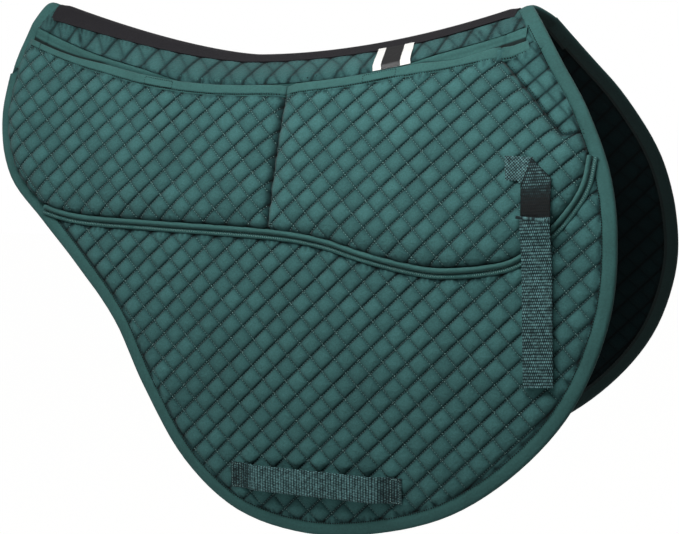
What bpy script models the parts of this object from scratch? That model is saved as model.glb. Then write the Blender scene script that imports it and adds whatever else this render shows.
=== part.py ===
# Correction saddle pad: a quilted cotton pad for under a jumping saddle. Two curved side panels hang from
# a spine strip, and each side has two pockets that hold foam inserts, a billet strap and a girth keeper.
#
# Axes: X forward, Y to the horse's left, Z up. The origin is on the horse's back, at the lowest point of
# the spine's underside. Each side is laid out flat in pattern coordinates and then wrapped on the barrel:
# x forward, s up the cloth from the lowest point of the spine seam, w out from the lining's inner face.
import math

import bmesh
import bpy
from mathutils import Matrix, Vector

MM = 0.001

# Cloth and layers
QUILT_SIDE = 19 * MM
QUILT_PUFF = 1.6 * MM
LINING_THICKNESS = 1.2 * MM
PANEL_TOP = 8 * MM
BOUND_TOP = 5 * MM
LAYER_GAP = 0.3 * MM
SEAM_GAP = 0.5 * MM
HINGE_HEIGHT = 35 * MM
TAPE_THICKNESS = 1.2 * MM
BINDING_WIDTH = 14 * MM

# The barrel that the sides follow
BARREL_RADIUS = 960 * MM
SEAM_ANGLE = math.radians(28.5)
SEAM_HALF_WIDTH = 62 * MM
SEAM_BELOW_CREST = 18 * MM

# Spine
SEAM_LOW_X = -60 * MM
SEAM_REAR_X = -357 * MM
SEAM_FRONT_X = 262 * MM
SEAM_REAR_RISE = 73 * MM
SEAM_FRONT_RISE = 66 * MM
CREST_LOW_X = -75 * MM
CREST_REAR_RISE = 66 * MM
CREST_REAR_POWER = 1.45
CREST_FRONT_RISE = 53 * MM
CREST_FRONT_POWER = 1.9
CREST_REAR_SETBACK = 10 * MM
CREST_FRONT_SETBACK = 19 * MM
RIDGE_POWER = 1.0
RIDGE_ROUND = 8 * MM
SEAM_BLEND = 0.75
WEBBING_WIDTH = 52 * MM
WEBBING_THICKNESS = 1.5 * MM
LABEL_X = 106 * MM
LABEL_WIDTH = 41 * MM
LABEL_THICKNESS = 0.5 * MM
LABEL_MARGIN = 1 * MM

# Free edge of a side, from the rear end of the seam round the bottom to its front end, as (x, s)
EDGE_POINTS = [
    (-366, 19), (-365, -51), (-340, -115), (-289, -164), (-240, -210), (-185, -269), (-143, -341),
    (-93, -415), (-30, -464), (50, -481), (130, -472), (210, -444), (280, -392), (333, -326),
    (362, -249), (367, -178), (357, -102), (325, -31), (289, 22),
]

# Pockets
FACING_WIDTH = 11 * MM
HEM_WIDTH = 13 * MM
FACING_THICKNESS = 0.7 * MM
PATCH_LENGTH = 36 * MM
PATCH_WIDTH = 11 * MM
PATCH_THICKNESS = 0.8 * MM
REAR_PATCH_X = -160 * MM
FRONT_PATCH_X = 102 * MM
INSERT_THICKNESS = 6 * MM
INSERT_CLEARANCE = 0.5 * MM
INSERT_REAR_CLEARANCE = 8 * MM
COVER_THICKNESS = 3 * MM
COVER_EDGE_HEIGHT = 3.5 * MM
CROWN_WIDTH = 30 * MM
SEWN_MARGIN = 14 * MM
DIVIDER_X = -5 * MM
MOUTH_DEPTH = 12 * MM
BAND_WIDTH = 11 * MM
PIPING_HEIGHT = 5.5 * MM
BAND_TAPE_HEIGHT = 1.6 * MM
BAND_POINTS = [
    (-300, -150), (-241, -163), (-140, -167), (-5, -171), (57, -178), (104, -190), (150, -199),
    (190, -203), (238, -198), (273, -187), (305, -157), (324, -131), (334, -108), (337, -80),
]
FRONT_SEAM_POINTS = [(234, 18), (252, -1), (268, -19), (290, -44), (306, -60), (330, -58)]

# Billet strap
STRAP_WIDTH = 32 * MM
STRAP_THICKNESS = 2 * MM
STRAP_X = 284 * MM
STRAP_TOP_S = -112 * MM
STRAP_LENGTH = 198 * MM
STRAP_TILT = math.radians(5)
STRAP_STANDOFF = 2 * MM
FLAP_LENGTH = 163 * MM
FLAP_GAP = 0.6 * MM
TAB_LENGTH = 30 * MM

# Girth keeper
KEEPER_WIDTH = 27 * MM
KEEPER_THICKNESS = 1.8 * MM
KEEPER_LENGTH = 194 * MM
KEEPER_MIDDLE = (63 * MM, -425 * MM)
KEEPER_SEWN_END = 14 * MM
KEEPER_BOW = 7 * MM
KEEPER_RAMP = 20 * MM

# Worked out from the above
QUILT_STEP = QUILT_SIDE / math.sqrt(2)
ROW_STEP = 3 * QUILT_STEP
BARREL_Y = SEAM_HALF_WIDTH - BARREL_RADIUS * math.cos(SEAM_ANGLE)
BARREL_Z = -SEAM_BELOW_CREST - BARREL_RADIUS * math.sin(SEAM_ANGLE)
FACING_LOW = PANEL_TOP + LAYER_GAP
FACING_TOP = FACING_LOW + FACING_THICKNESS
HINGE_OUT = FACING_TOP + LAYER_GAP
INSERT_LOW = FACING_TOP + LAYER_GAP + PATCH_THICKNESS + LAYER_GAP
INSERT_TOP = INSERT_LOW + INSERT_THICKNESS
HOOK_LOW = INSERT_TOP + INSERT_CLEARANCE
POCKET_CEILING = HOOK_LOW + PATCH_THICKNESS + LAYER_GAP
COVER_TOP = POCKET_CEILING + COVER_THICKNESS
EDGE_ROOM = BINDING_WIDTH + 1 * MM


def collection(name):
    made = bpy.data.collections.new(name)
    bpy.context.scene.collection.children.link(made)
    return made


def material(name, colour, roughness):
    made = bpy.data.materials.new(name)
    made.use_nodes = True
    shader = made.node_tree.nodes["Principled BSDF"]
    shader.inputs["Base Color"].default_value = (*colour, 1)
    shader.inputs["Roughness"].default_value = roughness
    shader.inputs["Metallic"].default_value = 0
    return made


# Curves in the pattern


def smooth(points, steps=3):
    """Points along a Catmull-Rom curve through the given ones."""
    ends = [2 * Vector(points[0]) - Vector(points[1]), 2 * Vector(points[-1]) - Vector(points[-2])]
    through = [ends[0], *map(Vector, points), ends[1]]
    found = []
    for a, b, c, d in zip(through, through[1:], through[2:], through[3:]):
        for step in range(steps):
            t = step / steps
            bend = (2 * a - 5 * b + 4 * c - d) * t**2 + (3 * b - a - 3 * c + d) * t**3
            found.append(b + ((c - a) * t + bend) / 2)
    return [*found, Vector(points[-1])]


def offset(path, distance):
    """The path moved to its left by the distance, with mitred corners."""
    moved = []
    for i, point in enumerate(path):
        before = (point - path[i - 1]).normalized() if i else None
        after = (path[i + 1] - point).normalized() if i + 1 < len(path) else None
        before = before or after
        after = after or before
        middle = (before + after).normalized()
        reach = distance / max(0.5, middle.dot(before))
        moved.append(point + reach * Vector((-middle.y, middle.x)))
    return moved


def seam_height(x):
    """Height s of the spine seam at x."""
    if x < SEAM_LOW_X:
        return SEAM_REAR_RISE * ((x - SEAM_LOW_X) / (SEAM_REAR_X - SEAM_LOW_X)) ** 2
    return SEAM_FRONT_RISE * ((x - SEAM_LOW_X) / (SEAM_FRONT_X - SEAM_LOW_X)) ** 2


def along_seam(start, end, below, steps=12):
    """Points between two x that lie this far below the spine seam."""
    stations = [start + (end - start) * i / steps for i in range(steps + 1)]
    return [Vector((x, seam_height(x) - below)) for x in stations]


def in_metres(points):
    return [(x * MM, s * MM) for x, s in points]


def distance_to(point, outline):
    """Distance from a point to the nearest side of a closed outline."""
    best = math.inf
    for a, b in zip(outline, [*outline[1:], outline[0]]):
        side = b - a
        t = max(0, min(1, (point - a).dot(side) / side.length_squared)) if side.length_squared else 0
        best = min(best, (point - a - t * side).length)
    return best


# Shapes in the flat pattern


def object_of(mesh, name="pattern"):
    made = bpy.data.objects.new(name, mesh)
    bpy.context.scene.collection.objects.link(made)
    return made


def prism(outline, low, high):
    """A flat outline given thickness, from a filled 2D curve."""
    curve = bpy.data.curves.new("outline", "CURVE")
    curve.dimensions = "2D"
    curve.fill_mode = "BOTH"
    curve.extrude = (high - low) / 2
    spline = curve.splines.new("POLY")
    spline.points.add(len(outline) - 1)
    for point, at in zip(spline.points, outline):
        point.co = (at[0], at[1], 0, 1)
    spline.use_cyclic_u = True
    guide = object_of(curve)
    bpy.context.view_layer.update()
    mesh = bpy.data.meshes.new_from_object(guide.evaluated_get(bpy.context.evaluated_depsgraph_get()))
    bpy.data.objects.remove(guide)
    shape = bmesh.new()
    shape.from_mesh(mesh)
    bmesh.ops.remove_doubles(shape, verts=shape.verts, dist=1e-6)
    bmesh.ops.translate(shape, verts=shape.verts, vec=(0, 0, (low + high) / 2))
    bmesh.ops.recalc_face_normals(shape, faces=shape.faces)
    shape.to_mesh(mesh)
    shape.free()
    return object_of(mesh)


def joined(base, other, operation):
    """The base with the other shape cut from it, or what the two share. Both are used up."""
    step = base.modifiers.new(operation.lower(), "BOOLEAN")
    step.operation = operation
    step.object = other
    bpy.context.view_layer.update()
    mesh = bpy.data.meshes.new_from_object(base.evaluated_get(bpy.context.evaluated_depsgraph_get()))
    bpy.data.objects.remove(base)
    bpy.data.objects.remove(other)
    return object_of(mesh)


def quilted_slab(outline, low, height):
    """A slab over the outline's box. Height gives its top from a point and a tuft, which is 1 in the middle
    of a quilted square and 0 on its stitches."""
    xs = [point[0] for point in outline]
    heights = [point[1] for point in outline]
    first_column = math.floor(min(xs) / QUILT_STEP) - 1
    first_row = math.floor(min(heights) / QUILT_STEP) - 1
    columns = math.ceil(max(xs) / QUILT_STEP) + 1 - first_column
    rows = math.ceil(max(heights) / QUILT_STEP) + 1 - first_row
    shape = bmesh.new()
    bmesh.ops.create_grid(shape, x_segments=columns, y_segments=rows, size=0.5)
    parity = {}
    for vert in shape.verts:
        column = first_column + round((vert.co.x + 0.5) * columns)
        row = first_row + round((vert.co.y + 0.5) * rows)
        at = Vector((column * QUILT_STEP, row * QUILT_STEP))
        parity[vert] = (column + row) % 2
        vert.co = (at.x, at.y, height(at, parity[vert]))
    for face in list(shape.faces):
        seam_ends = [vert for vert in face.verts if parity[vert] == 0]
        bmesh.utils.face_split(face, *seam_ends)
    border = [edge for edge in shape.edges if edge.is_boundary]
    walls = bmesh.ops.extrude_edge_only(shape, edges=border)["geom"]
    for vert in walls:
        if isinstance(vert, bmesh.types.BMVert):
            vert.co.z = low
    bmesh.ops.holes_fill(shape, edges=[edge for edge in shape.edges if edge.is_boundary])
    bmesh.ops.recalc_face_normals(shape, faces=shape.faces)
    mesh = bpy.data.meshes.new("slab")
    shape.to_mesh(mesh)
    shape.free()
    return object_of(mesh)


def swept(path, profile):
    """A closed profile of (left, w) points carried along a path in the pattern."""
    shape = bmesh.new()
    lines = [offset(path, left) for left, _ in profile]
    rings = [
        [shape.verts.new((*line[i], w)) for line, (_, w) in zip(lines, profile)] for i in range(len(path))
    ]
    for here, there in zip(rings, rings[1:]):
        for i, vert in enumerate(here):
            follow = (i + 1) % len(here)
            shape.faces.new((vert, here[follow], there[follow], there[i]))
    shape.faces.new(rings[0])
    shape.faces.new(rings[-1])
    bmesh.ops.recalc_face_normals(shape, faces=shape.faces)
    mesh = bpy.data.meshes.new("sweep")
    shape.to_mesh(mesh)
    shape.free()
    return object_of(mesh)


def ribbon(path, across, thickness):
    """A flat strap along a path of (x, s, w) points. Across is half its width, as a vector."""
    shape = bmesh.new()
    path = [Vector(point) for point in path]
    rings = []
    for i, point in enumerate(path):
        along = (path[min(i + 1, len(path) - 1)] - path[max(i - 1, 0)]).normalized()
        up = across.cross(along).normalized() * thickness / 2
        corners = (-across - up, across - up, across + up, up - across)
        rings.append([shape.verts.new(point + corner) for corner in corners])
    for here, there in zip(rings, rings[1:]):
        for i in range(4):
            follow = (i + 1) % 4
            shape.faces.new((here[i], here[follow], there[follow], there[i]))
    shape.faces.new(rings[0])
    shape.faces.new(rings[-1])
    bmesh.ops.recalc_face_normals(shape, faces=shape.faces)
    mesh = bpy.data.meshes.new("ribbon")
    shape.to_mesh(mesh)
    shape.free()
    return object_of(mesh)


# From the pattern to the pad's own shape


def row_direction(row):
    angle = SEAM_ANGLE + row * ROW_STEP / BARREL_RADIUS
    return Vector((0, -math.cos(angle), math.sin(angle)))


def on_side(x, s, w):
    """A pattern point wrapped on the right side of the barrel, which is flat between its rows."""
    row = math.floor(s / ROW_STEP)
    share = s / ROW_STEP - row
    direction = row_direction(row).lerp(row_direction(row + 1), share)
    return Vector((x, -BARREL_Y, BARREL_Z)) + (BARREL_RADIUS + w) * direction


def wrapped(pattern):
    """The mesh of a pattern shape, cut at the barrel's rows and wrapped on its right side."""
    shape = bmesh.new()
    shape.from_mesh(pattern.data)
    bpy.data.objects.remove(pattern)
    bmesh.ops.triangulate(shape, faces=shape.faces)
    heights = [vert.co.y for vert in shape.verts]
    for row in range(math.floor(min(heights) / ROW_STEP) + 1, math.ceil(max(heights) / ROW_STEP)):
        everything = [*shape.verts, *shape.edges, *shape.faces]
        cut = bmesh.ops.bisect_plane(
            shape, geom=everything, dist=1e-6, plane_co=(0, row * ROW_STEP, 0), plane_no=(0, 1, 0)
        )
        for edge in cut["geom_cut"]:
            if isinstance(edge, bmesh.types.BMEdge):
                edge.seam = True
    bmesh.ops.dissolve_limit(
        shape, angle_limit=math.radians(0.2), verts=shape.verts, edges=shape.edges, delimit={"SEAM"}
    )
    for vert in shape.verts:
        vert.co = on_side(*vert.co)
    bmesh.ops.triangulate(shape, faces=shape.faces)
    mesh = bpy.data.meshes.new("wrapped")
    shape.to_mesh(mesh)
    shape.free()
    return mesh


# The spine's arch, by distance along it and by share of the half width from crest to seam


def crest_height(x):
    if x < CREST_LOW_X:
        share = (x - CREST_LOW_X) / (SEAM_REAR_X + CREST_REAR_SETBACK - CREST_LOW_X)
        return CREST_REAR_RISE * share**CREST_REAR_POWER
    share = (x - CREST_LOW_X) / (SEAM_FRONT_X - CREST_FRONT_SETBACK - CREST_LOW_X)
    return CREST_FRONT_RISE * share**CREST_FRONT_POWER


def seam_base(x):
    """The inner edge of the spine, where it meets the right side."""
    return on_side(x, seam_height(x) + SEAM_GAP, 0)


def arch_point(x, side, w):
    """A point w above the arch's underside. Side runs from -1 at the right seam over the crest to 1."""
    seam_point = seam_base(x)
    seam_out = (on_side(x, seam_height(x) + SEAM_GAP, PANEL_TOP) - seam_point).normalized()
    half = -seam_point.y
    rise = crest_height(x) - seam_point.z

    def drop(across):
        return math.hypot(across, RIDGE_ROUND) - RIDGE_ROUND

    def arch(share):
        fall = (drop(share * half) / drop(half)) ** RIDGE_POWER
        return Vector((x, share * half, crest_height(x) - rise * fall))

    near = arch(abs(side))
    slope = arch(abs(side) + 1e-3) - arch(abs(side) - 1e-3)
    out = Vector((0, -slope.z, slope.y)).normalized()
    seam_out.y *= -1
    out = out.lerp(seam_out, max(0, abs(side) - SEAM_BLEND) / (1 - SEAM_BLEND)).normalized()
    point = near + w * out
    return Vector((point.x, math.copysign(point.y, side) if side else 0, point.z))


def arch_end(side, front):
    """Where the pad ends at this share of the half width."""
    if front:
        return SEAM_FRONT_X - CREST_FRONT_SETBACK * (1 - abs(side))
    return SEAM_REAR_X + CREST_REAR_SETBACK * (1 - abs(side))


def arch_body(grid, under=None):
    """A closed body on the arch from rows of (x, side, low, top). Under picks the rows of its underside."""
    last = len(grid) - 1
    end = len(grid[0]) - 1
    under = under or range(last + 1)
    shape = bmesh.new()
    below = {i: [shape.verts.new(arch_point(x, side, low)) for x, side, low, _ in grid[i]] for i in under}
    above = [[shape.verts.new(arch_point(x, side, top)) for x, side, _, top in row] for row in grid]
    for i in range(last):
        for j in range(end):
            shape.faces.new((above[i][j], above[i + 1][j], above[i + 1][j + 1], above[i][j + 1]))
    for a, b in zip(under, under[1:]):
        for j in range(end):
            shape.faces.new((below[a][j], below[a][j + 1], below[b][j + 1], below[b][j]))
        for j in (0, end):
            shape.faces.new((below[a][j], below[b][j], *[above[i][j] for i in range(b, a - 1, -1)]))
    for i in (0, last):
        for j in range(end):
            shape.faces.new((below[i][j], above[i][j], above[i][j + 1], below[i][j + 1]))
    bmesh.ops.recalc_face_normals(shape, faces=shape.faces)
    bmesh.ops.triangulate(shape, faces=shape.faces)
    mesh = bpy.data.meshes.new("arch")
    shape.to_mesh(mesh)
    shape.free()
    return mesh


def half_arc(x):
    """The way from the crest to a seam at x."""
    seam_point = seam_base(x)
    return math.hypot(seam_point.y, crest_height(x) - seam_point.z)


# The columns of a spine layer, from seam to seam. WEB_SIDE is where the webbing's edge lies.
WEB_SIDE = 0.5
SPINE_SIDES = [-1, -0.875, -0.75, -0.625, -0.5, -0.25, 0, 0.25, 0.5, 0.625, 0.75, 0.875, 1]
QUILTS_A_COLUMN = 3
LINING_COLUMNS = round((SEAM_FRONT_X - SEAM_REAR_X) / QUILT_STEP / QUILTS_A_COLUMN)


def column_share(x, side):
    """The share of the half width at which a column lies at x."""
    web = WEBBING_WIDTH / 2 / half_arc(x)
    if abs(side) <= WEB_SIDE:
        return side * web / WEB_SIDE
    return math.copysign(web + (1 - web) * (abs(side) - WEB_SIDE) / (1 - WEB_SIDE), side)


def spine_stations(count):
    """Stations along the spine as (share of its length, shift in x, whether it is bound there)."""
    room = EDGE_ROOM + 1 * MM
    inner = [(k / count, room * (1 - 2 * k / count), False) for k in range(count + 1)]
    return [(0, 0, True), (0, EDGE_ROOM, True), *inner, (1, -EDGE_ROOM, True), (1, 0, True)]


def spine_grid(low, top, count, puff=0.0):
    """The rows of one layer of the spine. Its bound ends are no thicker than the binding holds."""
    grid = []
    for number, (share, shift, bound) in enumerate(spine_stations(count)):
        row = []
        for column, side in enumerate(SPINE_SIDES):
            start, stop = arch_end(side, False), arch_end(side, True)
            x = start + (stop - start) * share + shift
            height = min(top, BOUND_TOP) if bound else top
            if WEB_SIDE < abs(side) < 1 and not bound:
                height += puff * ((number + column) % 2)
            row.append((x, column_share(x, side), low, height))
        grid.append(row)
    return grid


def spine_lining():
    return arch_body(spine_grid(0, LINING_THICKNESS, LINING_COLUMNS))


def spine_strip():
    """The quilted spine. Its underside has the lining's rows, so that the two lie face to face."""
    low = LINING_THICKNESS + LAYER_GAP
    grid = spine_grid(low, PANEL_TOP, LINING_COLUMNS * QUILTS_A_COLUMN, QUILT_PUFF)
    last = len(grid) - 1
    return arch_body(grid, [0, 1, *range(2, last - 1, QUILTS_A_COLUMN), last - 1, last])


def spine_webbing():
    """The flat webbing along the crest, between the bound ends, with the strip's rows."""
    low = PANEL_TOP + LAYER_GAP
    rows = spine_grid(low, low + WEBBING_THICKNESS, LINING_COLUMNS * QUILTS_A_COLUMN)[2:-2]
    first = SPINE_SIDES.index(-WEB_SIDE)
    stop = SPINE_SIDES.index(WEB_SIDE) + 1
    return arch_body([row[first:stop] for row in rows])


def binding_profile():
    """The section of the tape folded over a bound edge, as (distance in from the edge, w)."""
    inner = LAYER_GAP
    outer = inner + TAPE_THICKNESS
    return [
        (BINDING_WIDTH, BOUND_TOP + outer), (-outer, BOUND_TOP + outer), (-outer, -outer),
        (BINDING_WIDTH, -outer), (BINDING_WIDTH, -inner), (-inner, -inner),
        (-inner, BOUND_TOP + inner), (BINDING_WIDTH, BOUND_TOP + inner),
    ]


def spine_binding(front):
    """The tape folded over the spine's end, from seam to seam."""
    inward = -1 if front else 1
    profile = binding_profile()
    shape = bmesh.new()
    rings = []
    for side in SPINE_SIDES:
        end = arch_end(side, front)
        at = [(end + inward * reach, w) for reach, w in profile]
        rings.append([shape.verts.new(arch_point(x, column_share(x, side), w)) for x, w in at])
    for here, there in zip(rings, rings[1:]):
        for i in range(len(profile)):
            follow = (i + 1) % len(profile)
            shape.faces.new((here[i], here[follow], there[follow], there[i]))
    shape.faces.new(rings[0])
    shape.faces.new(rings[-1])
    bmesh.ops.recalc_face_normals(shape, faces=shape.faces)
    if shape.calc_volume(signed=True) < 0:
        bmesh.ops.reverse_faces(shape, faces=shape.faces)
    bmesh.ops.triangulate(shape, faces=shape.faces)
    mesh = bpy.data.meshes.new("spine_binding")
    shape.to_mesh(mesh)
    shape.free()
    return mesh


def label():
    """A small woven label on the right of the spine, from the webbing to the seam."""
    grid = []
    low = PANEL_TOP + QUILT_PUFF + 2 * LAYER_GAP
    for x in (LABEL_X - LABEL_WIDTH / 2, LABEL_X, LABEL_X + LABEL_WIDTH / 2):
        inner = (WEBBING_WIDTH / 2 + LABEL_MARGIN) / half_arc(x)
        outer = 1 - LABEL_MARGIN / half_arc(x)
        grid.append([(x, -outer + (outer - inner) * k / 3, low, low + LABEL_THICKNESS) for k in range(4)])
    return arch_body(grid)


# The outline curves of a side, in the pattern
EDGE = smooth([(SEAM_REAR_X, SEAM_REAR_RISE), *in_metres(EDGE_POINTS), (SEAM_FRONT_X, SEAM_FRONT_RISE)], 2)
BAND = smooth(in_metres(BAND_POINTS), 2)
FRONT_SEAM = smooth(in_metres(FRONT_SEAM_POINTS), 2)
ROOM = offset(EDGE, EDGE_ROOM)

# A length that reaches past any edge, for shapes that another one trims
OUTSIDE = 60 * MM


def between(path, start, stop):
    """The part of a path between two x, where the path always runs forward."""
    kept = [point for point in path if start < point.x < stop]
    ends = []
    for x in (start, stop):
        for a, b in zip(path, path[1:]):
            if a.x <= x <= b.x:
                ends.append(a.lerp(b, (x - a.x) / (b.x - a.x)))
                break
    return [ends[0], *kept, ends[1]]


def from_seam(path, below):
    """A path that runs down and forward, from where it is this far below the spine seam."""
    above = 2 * path[0] - path[1]
    path = [above, *path]
    under = [point for point in path if point.y < seam_height(point.x) - below]
    last = path[len(path) - len(under) - 1]
    low, high = 0, 1
    for _ in range(30):
        middle = (low + high) / 2
        point = last.lerp(under[0], middle)
        low, high = (low, middle) if point.y < seam_height(point.x) - below else (middle, high)
    return [last.lerp(under[0], high), *under]


def pocket_outline(front, below):
    """A pocket from its top line, this far below the spine seam, to the band and its side seams."""
    gap = LAYER_GAP
    upper = offset(BAND, BAND_WIDTH / 2 + gap)
    if front:
        side = from_seam(offset(FRONT_SEAM, -gap), below) if below > 0 else offset(FRONT_SEAM, -gap)
        bottom = [point for point in upper if point.x > DIVIDER_X + gap]
        corner = between(upper, DIVIDER_X + gap, bottom[0].x)[0]
        top = along_seam(side[0].x, DIVIDER_X + gap, below)
        return [corner, *bottom, *reversed(side[1:]), *top]
    bottom = between(upper, upper[0].x, DIVIDER_X - gap)
    top = along_seam(DIVIDER_X - gap, SEAM_REAR_X, below)
    reach = SEAM_REAR_X - OUTSIDE
    return [*bottom, *top, Vector((reach, top[-1].y)), Vector((reach, bottom[0].y))]


def inside(point, outline):
    crossings = 0
    for a, b in zip(outline, [*outline[1:], outline[0]]):
        if (a.y > point.y) != (b.y > point.y):
            crossings += point.x < a.x + (b.x - a.x) * (point.y - a.y) / (b.y - a.y)
    return crossings % 2 == 1


def crown(outline):
    """The height of a pocket's top, which falls towards its sewn sides."""

    def top(point):
        depth = min(distance_to(point, outline), distance_to(point, ROOM))
        if not (inside(point, outline) and inside(point, ROOM)):
            depth = 0
        share = 1 - min(1, depth / CROWN_WIDTH)
        low = PANEL_TOP + COVER_EDGE_HEIGHT
        return low + (COVER_TOP - low) * math.sqrt(1 - share * share)

    return top


def channel(front, shrink, rear_shrink, below):
    """The space inside a pocket between its sewn margins, or the insert's outline when it is shrunk."""
    upper = offset(BAND, BAND_WIDTH / 2 + SEWN_MARGIN + shrink)
    if front:
        start, stop = DIVIDER_X + SEWN_MARGIN + shrink, FRONT_SEAM[0].x - SEWN_MARGIN - shrink
    else:
        start, stop = upper[1].x, DIVIDER_X - SEWN_MARGIN - shrink
    bottom = between(upper, start, stop)
    top = along_seam(stop, start, below)
    if front:
        return [*bottom, *top]
    reach = SEAM_REAR_X + EDGE_ROOM + SEWN_MARGIN / 2 + rear_shrink
    return [*bottom, *along_seam(stop, reach, below), Vector((reach, bottom[0].y))]


def channel_shape(front, low, high, shrink=0.0, rear_shrink=0.0, below=-OUTSIDE):
    shape = prism(channel(front, shrink, rear_shrink, below), low, high)
    if front:
        return shape
    sewn = offset(EDGE, EDGE_ROOM + SEWN_MARGIN + shrink)
    return joined(shape, prism(sewn, low - MM, high + MM), "INTERSECT")


def kept_inside(piece, low):
    """The part of a pattern shape that the edge binding leaves room for."""
    return joined(piece, prism(ROOM, low, COVER_TOP + OUTSIDE), "INTERSECT")


# The pieces of a side. Each returns its mesh, wrapped on the right side of the barrel.
HEM_LINE = FACING_WIDTH + HEM_WIDTH
HEM_LOW = FACING_TOP + LAYER_GAP


def panel_outline():
    """The free edge, closed by a line above the seam that the seam's own cut takes away."""
    return [*EDGE, *along_seam(SEAM_FRONT_X, SEAM_REAR_X, -SEAM_GAP, 4)[1:-1]]


def seam_cutter():
    """What lies above the seam."""
    profile = [(0, -COVER_TOP), (0, COVER_TOP), (OUTSIDE, COVER_TOP), (OUTSIDE, -COVER_TOP)]
    return swept(along_seam(SEAM_REAR_X - OUTSIDE, SEAM_FRONT_X + OUTSIDE, 0, 28), profile)


def side_lining():
    return wrapped(joined(prism(panel_outline(), 0, LINING_THICKNESS), seam_cutter(), "DIFFERENCE"))


def side_panel():
    """The quilted body of a side, flat under the pockets and thin where its edge is bound."""
    low = LINING_THICKNESS + LAYER_GAP
    high = COVER_TOP + OUTSIDE
    far = 2 * SEAM_FRONT_X
    around = [Vector((-far, -far)), Vector((far, -far)), Vector((far, far)), Vector((-far, far))]
    lower = offset(BAND, -BAND_WIDTH / 2 - LAYER_GAP)
    seat = [Vector((-far, lower[0].y)), *lower, Vector((far, lower[-1].y)), *around[2:]]
    deep = offset(seat, -QUILT_STEP)

    def height(point, tuft):
        return PANEL_TOP + (0 if inside(point, deep) else QUILT_PUFF * tuft)

    panel = quilted_slab(panel_outline(), 0, height)
    panel = joined(panel, prism(panel_outline(), low, high), "INTERSECT")
    panel = joined(panel, prism(seat, PANEL_TOP + LAYER_GAP / 2, high), "DIFFERENCE")
    frame = joined(prism(around, BOUND_TOP, high), prism(ROOM, 0, high + MM), "DIFFERENCE")
    panel = joined(panel, frame, "DIFFERENCE")
    return wrapped(joined(panel, seam_cutter(), "DIFFERENCE"))


def facing():
    """The plain strip below the seam that closes the back of the pocket mouths."""
    strip = [
        *along_seam(SEAM_REAR_X, SEAM_FRONT_X, HEM_LINE),
        *along_seam(SEAM_FRONT_X, SEAM_REAR_X, SEAM_GAP),
    ]
    return wrapped(kept_inside(prism(strip, FACING_LOW, FACING_TOP), 0))


def pocket_cover(front):
    """The quilted front of a pocket, hollow where the insert goes."""
    outline = pocket_outline(front, HEM_LINE + LAYER_GAP)
    top = crown(pocket_outline(front, -OUTSIDE))
    cover = quilted_slab(outline, FACING_LOW, lambda point, tuft: top(point) + QUILT_PUFF * tuft)
    cover = joined(cover, prism(outline, 0, COVER_TOP + OUTSIDE), "INTERSECT")
    cover = joined(kept_inside(cover, MM), channel_shape(front, 0, POCKET_CEILING), "DIFFERENCE")
    return wrapped(cover)


def hem(front):
    """The folded band across a pocket's mouth, sewn down at its ends."""
    start = DIVIDER_X + LAYER_GAP if front else SEAM_REAR_X
    stop = SEAM_FRONT_X if front else DIVIDER_X - LAYER_GAP
    outline = [*along_seam(start, stop, HEM_LINE), *along_seam(stop, start, FACING_WIDTH)]
    far = OUTSIDE * 2
    crown_start = start if front else SEAM_REAR_X - far
    crown_stop = SEAM_FRONT_X + far if front else stop
    corners = ((crown_start, -far), (crown_stop, -far), (crown_stop, far), (crown_start, far))
    top = crown([Vector(corner) for corner in corners])
    band = quilted_slab(outline, HEM_LOW, lambda point, tuft: top(point))
    band = joined(band, prism(outline, 0, COVER_TOP + OUTSIDE), "INTERSECT")
    band = joined(kept_inside(band, MM), channel_shape(front, 0, POCKET_CEILING), "DIFFERENCE")
    return wrapped(band)


def patch(x, low):
    """A hook or loop patch in a pocket's mouth, following the hem."""
    start, stop = x - PATCH_LENGTH / 2, x + PATCH_LENGTH / 2
    upper = FACING_WIDTH + (HEM_WIDTH - PATCH_WIDTH) / 2
    outline = [*along_seam(start, stop, upper + PATCH_WIDTH, 4), *along_seam(stop, start, upper, 4)]
    return wrapped(prism(outline, low, low + PATCH_THICKNESS))


def insert(front):
    """A foam insert at the bottom of its pocket."""
    below = HEM_LINE + MOUTH_DEPTH
    shape = channel_shape(front, INSERT_LOW, INSERT_TOP, INSERT_CLEARANCE, INSERT_REAR_CLEARANCE, below)
    return wrapped(shape)


def front_wedge():
    """The quilted wedge between the front pocket's seam and the edge binding."""
    seam = from_seam(offset(FRONT_SEAM, LAYER_GAP), HEM_LINE + LAYER_GAP)
    far = SEAM_FRONT_X + 2 * OUTSIDE
    outline = [
        *reversed(along_seam(seam[0].x, SEAM_FRONT_X, HEM_LINE + LAYER_GAP, 4)[1:]),
        *seam, Vector((far, seam[-1].y)), Vector((far, seam[0].y)),
    ]
    top = PANEL_TOP + COVER_EDGE_HEIGHT
    wedge = quilted_slab(outline, FACING_LOW, lambda point, tuft: top + QUILT_PUFF * tuft)
    wedge = joined(wedge, prism(outline, 0, COVER_TOP), "INTERSECT")
    return wrapped(kept_inside(wedge, MM))


def lower_band():
    """Rolled piping and a flat tape over the pockets' lower edge."""
    low = FACING_LOW
    half = BAND_WIDTH / 2
    tape = PANEL_TOP + BAND_TAPE_HEIGHT
    top = PANEL_TOP + PIPING_HEIGHT
    profile = [
        (-half, low), (-half, tape - 0.4 * MM), (0, tape), (0.2 * half, top - 1.2 * MM), (0.5 * half, top),
        (0.8 * half, top - 0.6 * MM), (half, top - 2.4 * MM), (half, low),
    ]
    return wrapped(kept_inside(swept(BAND, profile), 0))


def edge_binding():
    """The tape folded over the free edge, from the rear end of the seam round to its front end."""
    start = 2 * EDGE[0] - EDGE[1]
    stop = 2 * EDGE[-1] - EDGE[-2]
    tape_body = swept([start, *EDGE, stop], binding_profile())
    return wrapped(joined(tape_body, seam_cutter(), "DIFFERENCE"))


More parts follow.
